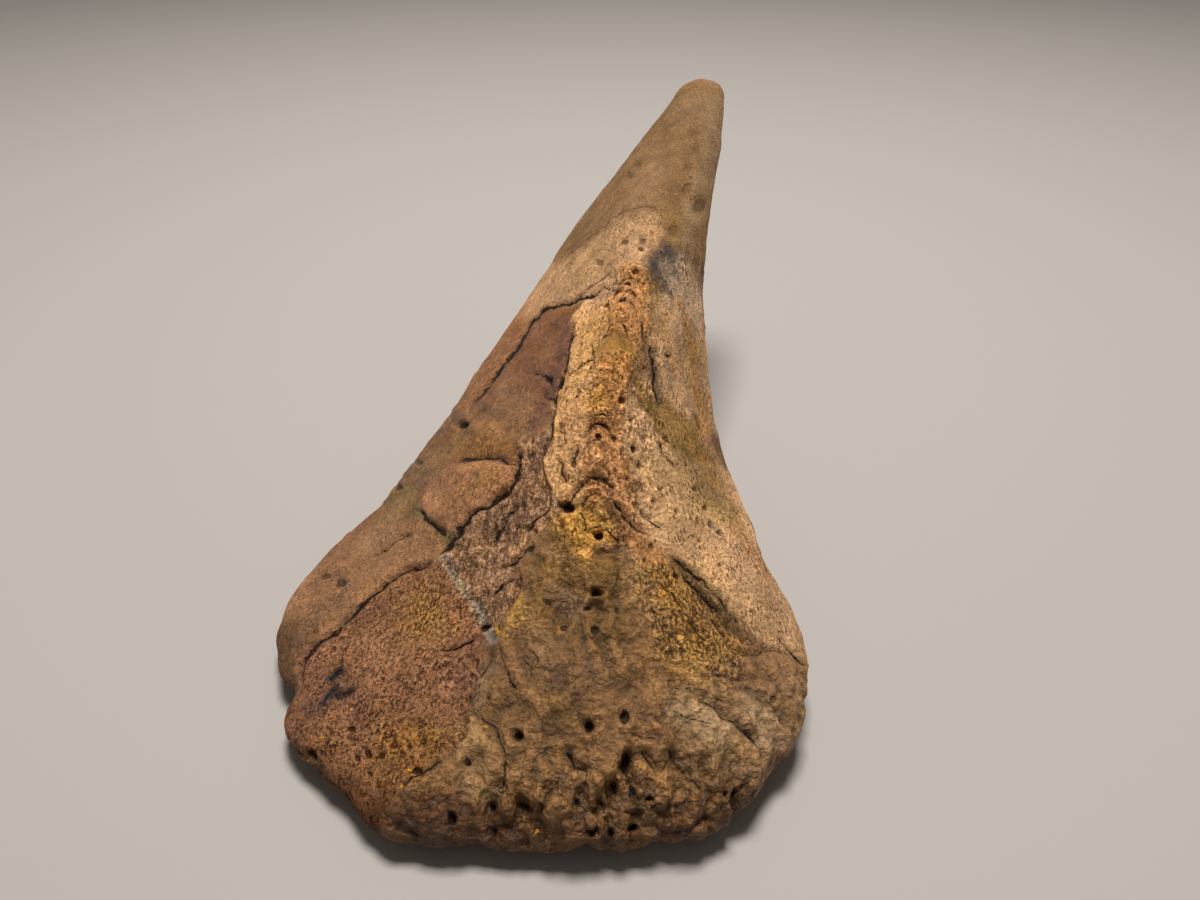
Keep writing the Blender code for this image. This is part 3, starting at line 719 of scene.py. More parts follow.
def grain_places(rows):
    """Places for noise that runs along the body: a cone as wide round as each row is long, squeezed
    lengthways. It closes on itself as the rows do."""
    around = np.linalg.norm(np.roll(rows, -1, axis=1) - rows, axis=2)
    angle = np.cumsum(around, axis=1) - around
    radius = around.sum(axis=1, keepdims=True) / (2 * np.pi)
    angle /= radius
    steps = np.linalg.norm(np.diff(rows, axis=0), axis=2).mean(axis=1)
    along = np.concatenate([[0], np.cumsum(steps)])[:, None] + np.zeros_like(angle)
    return np.stack([radius * np.cos(angle), radius * np.sin(angle), along / GRAIN_STRETCH], axis=-1)


def drapes(points, size, seed, steps):
    """Sheets that overlap like run wax: noise cut into level steps with short rises between them, 0 to 1."""
    level = (layers(points, size, seed, 3, 0.4) + 1) * steps / 2
    low = np.floor(level)
    return (low + smooth(0.55, 1.0, level - low)) / steps


def texture(skin, kinds, grain):
    """Rise of the skin's own texture, by kind: run-wax sheets and knolls on the base's end, ribs and clefts
    along its foot, drawn-out fibres on the bark, crumbs and small pits on the crest and flanks, and long
    furrows on the hidden side. Factors are heights in mm, and each noise is given its size in mm and seed."""
    points = skin.points
    across, down = skin.seen.T
    bent = grain + 0.7 * sway(swell, 3, points, 2.6, 16)
    bumps = knolls(points + 0.8 * sway(swell, 3, points, 2.0, 22), 2.7, 39) - 0.6
    wax = 2.3 * (drapes(bent, 5.5, 31, 4) - 0.5) + 0.35 * layers(points, 2.4, 35, 2) + 0.35 * bumps
    ribs = 1.3 * (ridges(bent, 2.4, 37, 2) - 0.5) + 1.1 * bumps + 1.2 * (knolls(bent, 2.3, 43) - 0.6)
    ribs -= 1.3 * smooth(0.1, 0.5, pores(bent, 2.8, 41, 0.5, (0.5, 1.0)))
    low = smooth(745, 805, down - 0.1 * np.abs(across - 560))
    low *= 1 - 0.6 * smooth(530, 470, across)
    rises = {
        "rugose": wax * (1 - 0.6 * low) + ribs * (0.25 + 0.75 * low),
        "bark": 1.2 * (ridges(grain, 1.6, 45, 3) - 0.5) + 0.3 * layers(points, 2.2, 35, 3)
        + 1.0 * (drapes(bent, 3.4, 47, 4) - 0.5),
        "crest": 0.42 * layers(bent, 1.5, 51, 3, 0.6) - 0.55 * pores(bent, 1.8, 55, 0.5, (0.35, 0.65))
        + smooth(330, 470, down) * 1.3 * (drapes(points, 2.6, 53, 4) - 0.5),
        "peach": 0.36 * layers(points, 2.6, 101, 3) - 0.5 * pores(points, 2.8, 105, 0.4, (0.4, 0.8)),
        "right": 0.26 * layers(bent, 1.8, 61, 3) - 0.45 * pores(bent, 1.9, 65, 0.5, (0.3, 0.6)),
        "pink": 0.30 * layers(bent, 1.9, 75, 3) - 0.5 * pores(points, 2.3, 79, 0.45, (0.35, 0.65)),
        "mustard": 0.36 * layers(bent, 1.7, 85, 3) + 0.9 * (drapes(bent, 2.6, 88, 4) - 0.5),
        "lobe": 0.45 * layers(points, 4.5, 89, 4, 0.6) - 0.4 * pores(points, 3.4, 92, 0.35, (0.4, 0.8)),
        "hidden": 0.9 * (ridges(bent, 5.2, 95, 3) - 0.55) - 0.4 * fissures(bent, 4.0, 98)
        - 0.7 * pores(bent, 3.0, 99, 0.4, (0.4, 0.8)),
    }
    rise = 0.36 * layers(points, 13.0, 21, 3) + 0.12 * layers(points, 2.6, 27, 3)
    return rise + sum(kinds[kind] * part for kind, part in rises.items())


# ---------------------------------------------------------------- colours, laid on coat by coat
BROWN = (0.27, 0.145, 0.068)
# Each coat: colour, outline, soft edge, strength and rise in mm.
COATS = (
    # left rim
    ((0.39, 0.19, 0.08), (290, 700, *RIM_SEAM, 436, 555, 444, 534, 419, 511, 398, 485, 350, 450, 220, 600,
        240, 700), 5, 1, 0),
    # left rim end
    ((0.096, 0.047, 0.014), (230, 620, 318, 628, 330, 640, 304, 662, 292, 700, 240, 720), 12, 0.8, 0),
    # rim olive
    ((0.26, 0.16, 0.037), (385, 490, 405, 482, 430, 500, 420, 515, 400, 512, 380, 520), 9, 0.7, 0),
    # rim top
    ((0.32, 0.14, 0.041), (398, 485, 430, 450, 470, 405, 500, 425, 517, 440, 516, 462, 459, 463, 430, 472),
        9, 1, 0),
    # orange lobe
    ((0.48, 0.22, 0.095), (425, 478, 459, 464, 516, 463, 513, 478, 497, 495, 470, 516, 451, 529, 436, 526,
        422, 508), 5, 1, 0.15),
    # edge strip
    ((0.38, 0.17, 0.066), (570, 235, 560, 304, 542, 309, 531, 321, 519, 341, 507, 357, 494, 377, 480, 394,
        466, 414, 440, 425, 400, 420), 3, 1, 0.1),
    # mauve plate
    ((0.27, 0.11, 0.04), (542, 310, 568, 303, 573, 330, 566, 368, 556, 394, 551, 426, 535, 436, 505, 430,
        480, 418, 467, 412, 482, 391, 507, 357, 519, 341, 532, 321), 6, 1, -0.25),
    # plate brown
    ((0.41, 0.21, 0.085), (470, 412, 500, 395, 530, 405, 552, 405, 548, 434, 520, 445, 490, 440, 468, 430),
        20, 0.6, 0),
    # bark
    ((0.45, 0.25, 0.13), (516, 462, 520, 440, 548, 430, *BARK_EDGE, 470, 517, 497, 496, 512, 480),
        6, 1, -0.5),
    # bark light side
    ((0.66, 0.37, 0.185), (541, 470, 550, 488, 564, 503, 555, 520, 538, 538, 522, 560, 510, 566, 520, 535,
        532, 510), 10, 0.6, 0),
    # pink bone
    ((0.32, 0.15, 0.077), (290, 696, *PINK_EDGE, 370, 870, 220, 800, 230, 720), 6, 1, -0.2),
    # pink bone warm
    ((0.36, 0.18, 0.081), (360, 640, 400, 590, 440, 580, 450, 620, 420, 650, 380, 660), 14, 0.7, 0),
    # pink bone low
    ((0.36, 0.17, 0.049), (380, 740, 430, 715, 465, 735, 440, 765, 410, 785, 385, 800, 350, 780), 12, 0.6, 0),
    # peach
    ((0.68, 0.39, 0.19), (520, 320, 546, 262, 564, 258, 590, 236, 605, 227, 612, 218, 632, 209, 651, 207,
        660, 213, 667, 245, 650, 262, 644, 292, 600, 305, 580, 300, 558, 304, 542, 309), 4, 0.9, -0.1),
    # cream strip
    ((0.82, 0.45, 0.19), (570, 318, 585, 302, 612, 296, 618, 322, 604, 350, 600, 382, 592, 412, 586, 440,
        588, 478, 584, 502, 562, 500, 548, 486, 542, 460, 549, 434, 557, 396, 566, 370), 5, 1, 0.25),
    # crest
    ((0.7, 0.33, 0.12), (612, 296, 622, 262, 645, 268, 652, 300, 643, 332, 632, 360, 626, 400, 622, 440,
        630, 482, 612, 505, 588, 502, 585, 470, 590, 430, 594, 400, 598, 372, 606, 350, 612, 322),
        5, 0.95, 0.15),
    # crest brown
    ((0.83, 0.41, 0.17), (600, 440, 615, 440, 628, 480, 640, 500, 630, 520, 610, 500, 596, 478), 6, 0.8, 0),
    # right flank
    ((0.82, 0.48, 0.23), (624, 400, 645, 372, 668, 402, 700, 430, 725, 470, 790, 500, 850, 640, 812, 668,
        790, 654, 774, 650, 745, 622, 720, 596, 693, 571, 676, 561, 650, 545, 628, 520, 640, 500, 622, 440),
        7, 1, 0),
    # right flank rose
    ((0.54, 0.26, 0.1), (620, 505, 640, 520, 676, 561, 700, 590, 680, 590, 650, 575, 628, 550, 615, 530),
        8, 0.8, 0),
    # right flank pale edge
    ((0.65, 0.38, 0.19), (725, 540, 790, 520, 850, 640, 812, 668, 786, 652, 755, 625, 725, 590), 9, 0.8, 0),
    # right upper
    ((0.7, 0.41, 0.21), (648, 296, 700, 296, 760, 290, 740, 430, 700, 432, 668, 402, 648, 350), 8, 1, 0),
    # right rust
    ((0.4, 0.26, 0.16), (684, 320, 700, 318, 704, 370, 700, 440, 715, 470, 700, 470, 686, 420, 680, 360),
        9, 0.8, 0),
    # olive patch
    ((0.34, 0.19, 0.042), (634, 372, 650, 392, 672, 402, 698, 424, 716, 462, 700, 462, 680, 448, 660, 430,
        642, 404), 6, 0.85, -0.4),
    # flank base
    ((0.21, 0.13, 0.028), (665, 440, 700, 455, 730, 490, 745, 530, 715, 520, 690, 490), 12, 0.6, 0),
    # blue grey
    ((0.13, 0.098, 0.074), (648, 254, 664, 242, 676, 252, 684, 262, 688, 282, 684, 296, 668, 304, 656, 290,
        648, 270), 9, 0.9, -0.1),
    # lilac grey
    ((0.85, 0.58, 0.36), (670, 262, 690, 258, 706, 290, 704, 320, 684, 318, 668, 296), 11, 0.7, 0),
    # spike end
    ((0.3, 0.17, 0.074), (500, 262, 562, 259, *SPIKE_SEAM, 666, 232, 672, 250, 700, 262, 712, 290, 790, 300,
        780, 20, 560, 20), 4, 1, 0.35),
    # spike end dusk
    ((0.37, 0.23, 0.12), (690, 100, 704, 128, 694, 170, 684, 215, 690, 262, 712, 300, 790, 300, 780, 90),
        10, 0.8, 0),
    # spike end olive
    ((0.29, 0.16, 0.058), (655, 190, 680, 170, 700, 195, 705, 240, 680, 250, 662, 226), 10, 0.7, 0),
    # base end
    ((0.28, 0.14, 0.047), (596, 548, 625, 556, 655, 592, 690, 655, 740, 668, 812, 662, 860, 720, 800, 850,
        600, 920, 340, 900, 385, 812, 405, 791, 446, 759, 470, 740, 474, 713, 481, 677, 493, 651, 497, 634,
        511, 607, 523, 582, 517, 563, 533, 538, 560, 556), 6, 1, 0.25),
    # base end top
    ((0.19, 0.095, 0.016), (533, 545, 560, 560, 596, 552, 622, 570, 632, 620, 610, 660, 560, 640, 525, 610),
        14, 0.8, 0),
    # foot: painted shade of the undercut front foot of the base
    ((0.1, 0.035, 0.006), (300, 765, 340, 772, 372, 800, 420, 798, 480, 806, 560, 812, 640, 806, 700, 794,
        745, 770, 790, 720, 812, 680, 850, 700, 780, 840, 600, 900, 340, 880), 18, 0.6, 0),
    # foot left: painted shade of the undercut front foot, on the left
    ((0.095, 0.032, 0.005), (372, 812, 400, 792, 450, 790, 500, 800, 520, 830, 510, 870, 380, 870),
        14, 0.7, 0),
    # mustard
    ((0.43, 0.23, 0.082), (622, 560, 676, 566, 716, 604, 748, 655, 730, 695, 690, 690, 660, 655, 640, 605),
        10, 0.9, 0),
    # grey beige
    ((0.35, 0.19, 0.079), (655, 682, 700, 690, 758, 680, 812, 672, 800, 730, 760, 790, 720, 770, 675, 745),
        12, 0.85, 0),
    # olive grooves
    ((0.12, 0.072, 0.03), (668, 555, 690, 562, 728, 596, 745, 640, 728, 632, 705, 600, 680, 575),
        6, 0.7, -0.2),
    # ochre cap
    ((0.9, 0.48, 0.14), CAP_SKIN, 6, 0.8, 0.2),
    # olive gem
    ((0.37, 0.18, 0.022), GEM_SKIN, 1, 0.95, 0),
    # seam ochre
    ((0.78, 0.42, 0.042), (498, 636, 508, 612, 522, 590, 530, 600, 520, 620, 506, 640), 8, 0.3, 0),
    # seam tan
    ((0.3, 0.21, 0.115), (470, 690, 480, 660, 495, 650, 498, 668, 484, 700, 476, 712), 6, 0.4, 0),
)
# Narrow marks: route, half width in picture-plane units, colour and strength.
STREAKS = (
    ((442, 556, 452, 576, 465, 592, 474, 608, 483, 622, 494, 640), 5, (0.52, 0.42, 0.3), 0.65),
    ((475, 602, 484, 615, 492, 632, 497, 642), 4, (0.22, 0.2, 0.185), 0.6),
    ((606, 372, 600, 400, 599, 430, 600, 440), 7, (0.58, 0.27, 0.1), 0.4),
    ((586, 380, 580, 410, 576, 440, 574, 470), 5, (0.8, 0.44, 0.21), 0.4),
    ((480, 405, 500, 412, 515, 420), 5, (0.14, 0.075, 0.04), 0.5),
    ((530, 398, 540, 410, 546, 424), 5, (0.42, 0.21, 0.1), 0.45),
    ((505, 372, 515, 380, 522, 392), 5, (0.36, 0.17, 0.08), 0.4),
    ((538, 330, 546, 346, 548, 362), 6, (0.36, 0.16, 0.075), 0.4),
    ((702, 96, 692, 140, 672, 185, 652, 205), 12, (0.25, 0.14, 0.06), 0.45),
    ((482, 522, 494, 514, 506, 526), 12, (0.33, 0.19, 0.12), 0.55),
    ((680, 712, 700, 720, 716, 734), 17, (0.58, 0.37, 0.185), 0.65),
    ((750, 708, 762, 720, 764, 736), 13, (0.54, 0.35, 0.18), 0.6),
    ((470, 735, 480, 758, 478, 785), 17, (0.46, 0.26, 0.1), 0.75),
    ((522, 622, 540, 642, 552, 662), 13, (0.36, 0.195, 0.075), 0.5),
    ((598, 815, 620, 820, 642, 818), 11, (0.22, 0.105, 0.03), 0.55),
    # Painted shade down the long groove of the foot.
    ((632, 772, 640, 782, 648, 792), 7, (0.08, 0.04, 0.018), 0.6),
    ((318, 625, 332, 608, 345, 596), 12, (0.24, 0.12, 0.055), 0.5),
    ((655, 172, 648, 190, 636, 204), 10, (0.44, 0.25, 0.12), 0.5),
    ((690, 208, 692, 224, 688, 242), 9, (0.42, 0.27, 0.145), 0.6),
    ((440, 486, 432, 478, 424, 470), 10, (0.22, 0.12, 0.05), 0.5),
    ((318, 708, 328, 698, 338, 686), 10, (0.12, 0.08, 0.06), 0.5),
    ((368, 546, 380, 540, 392, 533), 10, (0.5, 0.27, 0.125), 0.6),
    ((330, 677, 336, 671, 342, 668), 4.2, (0.014, 0.016, 0.02), 1),
    ((340, 696, 346, 693, 354, 690), 4.4, (0.014, 0.014, 0.016), 1),
    ((326, 702, 332, 693, 336, 686), 3.2, (0.022, 0.022, 0.024), 0.9),
    ((652, 256, 658, 270, 664, 286, 670, 298), 3.5, (0.06, 0.052, 0.045), 0.6),
    ((664, 248, 672, 260, 680, 278), 3.5, (0.08, 0.07, 0.06), 0.55),
    ((650, 270, 656, 280, 660, 292), 2.5, (0.07, 0.055, 0.04), 0.5),
    ((300, 745, 306, 756, 312, 768), 6, (0.12, 0.085, 0.05), 0.6),
    ((710, 521, 712, 526), 3.5, (0.1, 0.1, 0.1), 0.8), ((719, 530, 722, 535), 3, (0.1, 0.1, 0.1), 0.7),
    ((420, 512, 436, 526, 446, 538), 7, (0.16, 0.115, 0.035), 0.7),
    ((340, 580, 346, 585), 6, (0.17, 0.095, 0.055), 0.6), ((322, 580, 332, 574), 6, (0.2, 0.13, 0.06), 0.5),
    ((652, 350, 657, 376, 662, 402), 5, (0.14, 0.1, 0.055), 0.7),
    ((456, 418, 468, 428), 7, (0.12, 0.075, 0.045), 0.7),
    ((560, 592, 572, 602, 580, 612), 12, (0.4, 0.24, 0.12), 0.45),
    ((545, 374, 553, 386), 6, (0.12, 0.07, 0.05), 0.5),
    ((590, 471, 600, 473, 610, 476), 6, (0.8, 0.42, 0.16), 0.5),
    ((593, 405, 600, 409, 607, 412), 7, (0.8, 0.42, 0.165), 0.45),
    ((600, 488, 607, 490, 615, 494), 5, (0.42, 0.2, 0.09), 0.6),
    ((686, 364, 690, 380, 694, 396), 8, (0.76, 0.45, 0.21), 0.5),
    ((598, 434, 599, 446), 5, (0.36, 0.16, 0.065), 0.5), ((590, 423, 604, 427), 4, (0.28, 0.11, 0.05), 0.6),
    ((568, 325, 562, 345, 555, 372, 549, 398, 538, 412, 530, 432), 7, (0.17, 0.075, 0.05), 0.65),
    ((520, 350, 530, 372, 548, 388), 5, (0.2, 0.09, 0.055), 0.4),
    ((500, 385, 515, 398, 530, 404), 7, (0.36, 0.19, 0.09), 0.5),
    ((545, 440, 535, 462, 528, 490, 520, 520), 8, (0.2, 0.1, 0.065), 0.55),
    ((678, 300, 688, 325, 693, 360, 698, 400, 704, 430), 5, (0.56, 0.27, 0.075), 0.65),
    ((662, 318, 668, 345, 676, 372), 4, (0.5, 0.25, 0.09), 0.5),
    ((645, 300, 650, 320, 655, 340), 5, (0.55, 0.29, 0.1), 0.5),
    ((664, 355, 670, 372, 672, 388), 4, (0.2, 0.16, 0.11), 0.5),
    ((690, 440, 704, 462, 716, 486), 6, (0.52, 0.26, 0.08), 0.5),
    ((735, 520, 752, 552, 768, 580), 6, (0.62, 0.3, 0.12), 0.4),
    ((420, 470, 440, 455, 462, 440), 7, (0.32, 0.2, 0.08), 0.5),
    ((455, 500, 475, 490, 492, 474), 8, (0.5, 0.26, 0.08), 0.45),
    ((330, 610, 350, 590, 380, 566), 7, (0.42, 0.21, 0.1), 0.4),
    ((300, 640, 318, 618, 340, 600), 7, (0.22, 0.12, 0.06), 0.45),
    ((365, 540, 385, 520, 400, 500), 6, (0.4, 0.22, 0.11), 0.4),
)
# Bright grains of ochre: place and radius, and the mm that a unit of the radius stands for.
GRAINS = (
    (498, 633, 3.4), (496, 628, 2.2), (353, 710, 2.2), (338, 717, 2.2), (322, 739, 2.6), (354, 771, 2.6),
    (486, 728, 2.6), (512, 640, 2.4), (516, 601, 2.2), (518, 604, 2.4), (440, 700, 2.2), (412, 772, 2.8),
    (404, 788, 2.4), (536, 832, 3), (628, 822, 2.6),
)
GRAIN_MM = 0.15
OCHRE = (0.86, 0.44, 0.08)
DEEP_OCHRE = (0.80, 0.34, 0.012)
# How thick dust, and the mottling of the skin, shift red, green and blue.
DUST_SHIFT = np.array((0.04, 0.01, -0.30))
HUE_SHIFT = np.array((0.0, 0.01, -0.15))
# Where ochre dust lies thickest: place, radius and strength.
OCHRE_DUST = (
    (586, 532, 32, 0.9), (395, 690, 60, 0.28), (612, 360, 26, 0.75), (600, 400, 22, 0.8), (600, 330, 20, 0.5),
    (425, 615, 38, 0.7), (455, 625, 20, 0.6), (390, 730, 30, 0.6), (430, 735, 22, 0.5), (330, 735, 26, 0.5),
    (690, 650, 42, 0.8), (665, 595, 30, 0.7), (520, 620, 22, 0.8), (560, 560, 26, 0.6), (480, 445, 26, 0.5),
    (500, 480, 18, 0.5), (690, 350, 20, 0.6), (655, 285, 14, 0.6), (500, 690, 20, 0.3), (620, 790, 40, 0.35),
    (520, 830, 40, 0.3), (420, 790, 26, 0.4), (720, 780, 30, 0.3), (460, 600, 30, 0.4),
)
# Patches of the unseen side.
ROSE = (0.33, 0.155, 0.072)
OLIVE = (0.27, 0.165, 0.07)
TAN = (0.48, 0.27, 0.125)
# Tints that the finish multiplies in, for rusty grains, pale grains, and soil with painted shade, and the
# black painted shade that it mixes in inside a crack.
RUSTY = (1.18, 0.86, 0.55)
PALE = (0.95, 0.99, 1.05)
SOIL_AND_SHADE = (0.20, 0.13, 0.09)
DEEP_SHADE = (0.010, 0.007, 0.005)


def lay(colour, share, tint):
    """Mixes a tint over the colour at every point by its share there."""
    colour += share[:, None] * (tint - colour)


def lay_coats(skin):
    """The skin's colour and rise: each coat is mixed over those before it by its share, with an edge broken
    up by noise, and streaks lie over them all."""
    points = skin.points
    patches = layers(points, 6.5, 111, 4)[:, None]
    mottle = (1 + 0.36 * patches) * (1 + layers(points, 8.0, 115, 4)[:, None] * HUE_SHIFT)
    colour = np.array(BROWN) * mottle
    rise = np.zeros(len(points))
    for number, (tint, outline, soft, strength, height) in enumerate(COATS):
        ragged = (1.5 + 0.9 * soft) * layers(points, 3.4, 120 + number, 4)
        share = inside(skin.warped, outline, soft, ragged) * strength
        lay(colour, share, tint * mottle)
        if height:
            rise += height * inside(skin.warped, outline, 3.5, ragged)
    for number, (places, half_width, tint, strength) in enumerate(STREAKS):
        gap = along_route(skin.warped, pairs(places))[0] + 2.2 * layers(points, 1.6, 170 + number, 2)
        lay(colour, strength * np.exp(-((np.maximum(gap, 0) / half_width) ** 3)), tint)
    return colour, rise * skin.shown


def hidden_colour(points, grain):
    """The unseen side's colour: brown, tan, rose and olive patches drawn out along the spike."""
    colour = np.array(BROWN) * (1.05 + 0.35 * layers(grain, 9.0, 191, 4)[:, None])
    for share, tint in (
        (0.7 * smooth(-0.1, 0.5, layers(points, 22.0, 195, 3)), ROSE),
        (0.6 * smooth(0.0, 0.5, layers(points, 17.0, 199, 3)), OLIVE),
        (0.7 * smooth(0.05, 0.5, layers(grain, 6.0, 203, 4)), TAN),
    ):
        lay(colour, share, tint)
    return colour


def ochre_dust(skin):
    """How thick the ochre dust lies: soft round fields on the seen side, thin patches on the other."""
    dust = np.zeros(len(skin.points))
    for x, y, radius, strength in OCHRE_DUST:
        gap = np.hypot(skin.seen[:, 0] - x, skin.seen[:, 1] - y)
        dust = np.maximum(dust, strength * bell(gap / radius))
    thin = 0.5 * smooth(0.15, 0.6, layers(skin.points, 12.0, 211, 3))
    return dust * skin.shown + thin * (1 - skin.shown)


# How porous, fibrous, flaky, crisp (of strong contrast) and soft (smooth and clay-like) each kind of skin is,
# on top of what any skin is.
SKIN_MARKS = {
    "porous": dict(
        any=0.15, crest=1, peach=0.6, right=1, pink=1, mustard=0.6, rugose=0.25, hidden=0.3, lobe=0.35,
        bark=0.4),
    "fibrous": dict(any=0.08, bark=1, crest=0.5, right=0.25, pink=0.2, mustard=0.6, hidden=0.6, lobe=0.1),
    "flaky": dict(
        any=0.1, crest=0.25, bark=0.6, mustard=1, peach=0.25, pink=0.3, right=0.2, hidden=0.4, lobe=0.3),
    "crisp": dict(any=0.1, pink=0.35, crest=0.15, bark=0.3, lobe=0.05, mustard=0.3, rugose=0.2, hidden=0.3),
    "soft": dict(any=0, rugose=0.8, lobe=0.35, peach=0.2, hidden=0.1),
}


def note_skin(skin, kinds, gem, marks):
    """Keeps how thick the dust lies, and how rugged, porous, fibrous, flaky, crisp and soft each point is:
    the sum of its kinds' shares, each by its own measure. The gem-like wedge is smooth."""
    across, down = skin.seen.T
    ridge = bell((across - keel_places(down)) / 16)
    marks["ochre"] = ochre_dust(skin)
    marks["rugged"] = np.clip(
        kinds["rugose"] * (0.46 + 0.44 * smooth(720, 800, down) - 0.25 * smooth(520, 460, across))
        + kinds["crest"] * (0.3 + 0.45 * ridge) * smooth(280, 400, down) + 0.3 * kinds["lobe"]
        + 0.5 * kinds["bark"] + 0.35 * kinds["mustard"] + 0.4 * kinds["hidden"] + 0.25 * kinds["pink"], 0, 1)
    for name, shares in SKIN_MARKS.items():
        own = sum(kinds[kind] * share for kind, share in shares.items() if kind != "any")
        marks[name] = np.clip(shares["any"] + own, 0, 1)
    marks["flaky"] = np.clip(marks["flaky"] + 0.5 * marks["ochre"] * kinds["crest"], 0, 1)
    marks["crisp"] = np.clip(marks["crisp"] + 0.45 * marks["ochre"], 0, 1) * smooth(240, 400, down)
    for name in ("porous", "fibrous", "flaky", "rugged", "crisp"):
        marks[name] *= 1 - GEM_SMOOTHNESS * gem
    marks["soft"] = np.maximum(marks["soft"], gem)


# ---------------------------------------------------------------- the scute's mesh
def hollow_share(rise, shape):
    """How far each point lies under its neighbours' mean rise, in half millimetres: above 0 in hollows and
    below it on ridges."""
    field = rise.reshape(shape)
    mean = field
    for _ in range(8):
        mean = (mean + np.roll(mean, 1, axis=1) + np.roll(mean, -1, axis=1)) / 3
        padded = np.pad(mean, ((1, 1), (0, 0)), mode="edge")
        mean = (padded[:-2] + padded[1:-1] + padded[2:]) / 3
    return np.clip((mean - field) / 0.5, -1, 1).ravel()


def rim_bites(skin):
    """How far each point moves inward, level, for the notches of the rim: the sum of
    depth * exp(-(distance / radius) squared), carried straight down to the floor."""
    bite = np.zeros(len(skin.points))
    for x, y, z, radius, depth in NOTCHES:
        offset = skin.points - np.array((x, y, z)) + OUTLINE_MIDDLE
        offset[:, 2] = np.maximum(offset[:, 2], 0)
        bite += depth * bell(np.linalg.norm(offset, axis=1) / radius)
    sideways = skin.outward * (1, 1, 0)
    sideways /= np.maximum(np.linalg.norm(sideways, axis=1), 0.3)[:, None]
    return sideways * bite[:, None]


def scute_surface():
    """The finished rows of points, the top of the hollow, the tip, and the colour and marks at every point of
    the skin's rows."""
    rows = body_rows(runs(COLUMNS, closed=True), runs(ROWS, closed=False))
    end_rows, tip = tip_rows(rows[-1], rows[-2])
    rows = np.concatenate([rows, end_rows]) - OUTLINE_MIDDLE
    skin = Skin(rows, normals(rows))
    points = skin.points
    grain = grain_places(rows).reshape(-1, 3)

    count = len(points)
    marks = {"crack_line": np.full(count, FAR), "crack_wide": np.zeros(count), "crack_depth": np.zeros(count)}
    kinds = skin_kinds(skin)
    colour, rise = lay_coats(skin)
    gem = inside(skin.seen, GEM_SKIN, 2)
    rough = (0.35 + 0.65 * smooth(2, 8, points[:, 2])) * (1 - 0.8 * gem)
    rise += texture(skin, kinds, grain) * rough + raise_lumps(skin)
    pits, lips = sink_pits(skin, marks)
    depths = np.maximum(carve_cracks(skin, marks), pits)
    rise += lips - np.maximum(depths, crest_arcs(skin, marks))
    # The finish paints shade in hollows and a highlight on ridges by this mark.
    marks["hollow"] = hollow_share(rise, skin.shape)
    rise *= np.clip(points[:, 2] / 2.5, 0, 1)

    note_skin(skin, kinds, gem, marks)
    shown = skin.shown[:, None]
    colour = colour * shown + hidden_colour(points, grain) * (1 - shown)
    colour *= 1 + marks["ochre"][:, None] * DUST_SHIFT
    marks["ochre"] *= 1 - GEM_SMOOTHNESS * gem
    marks["grain_offset"], marks["grain_near"] = note_spots(
        skin, [(x, y, GRAIN_MM * radius, 0.8) for x, y, radius in GRAINS])

    finished = (points + skin.outward * rise[:, None] - rim_bites(skin)).reshape(rows.shape)
    finished[0, :, 2] = 0
    inner, hollow_top = under_rows(finished[0])
    grid = np.concatenate([inner[::-1], finished])
    marks["grain_places"] = grain
    return grid, hollow_top, tip - OUTLINE_MIDDLE, colour, marks


def grid_faces(row_count, column_count):
    """Quads between rows as one array, with a fan of triangles to the pole at each end."""
    row, column = np.meshgrid(np.arange(row_count - 1), np.arange(column_count), indexing="ij")
    after = (column + 1) % column_count
    quads = np.stack([
        row * column_count + column, (row + 1) * column_count + column,
        (row + 1) * column_count + after, row * column_count + after,
    ], axis=-1).reshape(-1, 4)
    first = np.arange(column_count)
    following = (first + 1) % column_count
    pole = row_count * column_count
    last = (row_count - 1) * column_count
    low_fan = np.stack([np.full(column_count, pole), first, following], axis=-1)
    high_fan = np.stack([np.full(column_count, pole + 1), last + following, last + first], axis=-1)
    return quads.tolist() + low_fan.tolist() + high_fan.tolist()


# What a mark is on the underside and at its pole, and at the spike's pole, where it isn't 0.
MARK_ENDS = {"crack_line": (FAR, FAR), "porous": (0.8, 0.1)}


def store(mesh, name, values):
    """Puts an array into the mesh as an attribute of its points: numbers, vectors or colours by its width."""
    width = values.size // len(values)
    kind, key = {1: ("FLOAT", "value"), 3: ("FLOAT_VECTOR", "vector"), 4: ("FLOAT_COLOR", "color")}[width]
    holder = mesh.color_attributes if key == "color" else mesh.attributes
    holder.new(name, kind, "POINT").data.foreach_set(key, values.astype(np.float32).ravel())


def make_scute():
    """The scute's closed mesh: underside, skin and two poles, with its colour and marks at every point."""
    grid, hollow_top, tip, colour, marks = scute_surface()
    points = np.vstack([grid.reshape(-1, 3), hollow_top, tip]) * MM
    mesh = bpy.data.meshes.new("fossil scute")
    mesh.from_pydata(points, [], grid_faces(*grid.shape[:2]))
    mesh.update()
    mesh.shade_smooth()
    under = points[:len(points) - 2 - len(colour)] / MM
    shade = np.array(BROWN) * (0.9 + 0.3 * layers(under, 4.0, 221, 4)[:, None])
    paint = np.vstack([shade, colour, [BROWN], colour[-1:]])
    store(mesh, "bone_colour", np.column_stack([paint, np.ones(len(paint))]))
    for name, values in marks.items():
        if values.ndim == 1:
            low, high = MARK_ENDS.get(name, (0, 0))
            store(mesh, name, np.concatenate([np.full(len(under), low), values, [low, high]]))
        else:
            inner = under if name == "grain_places" else np.full(under.shape, FAR)
            store(mesh, name, np.vstack([inner, values, inner[:1], values[-1:]]))
    mesh.materials.append(bone_finish())
    return put("fossil_scute", mesh)


def put(name, data):
    """A new object that holds the data, in the scene."""
    thing = bpy.data.objects.new(name, data)
    bpy.context.scene.collection.objects.link(thing)
    return thing


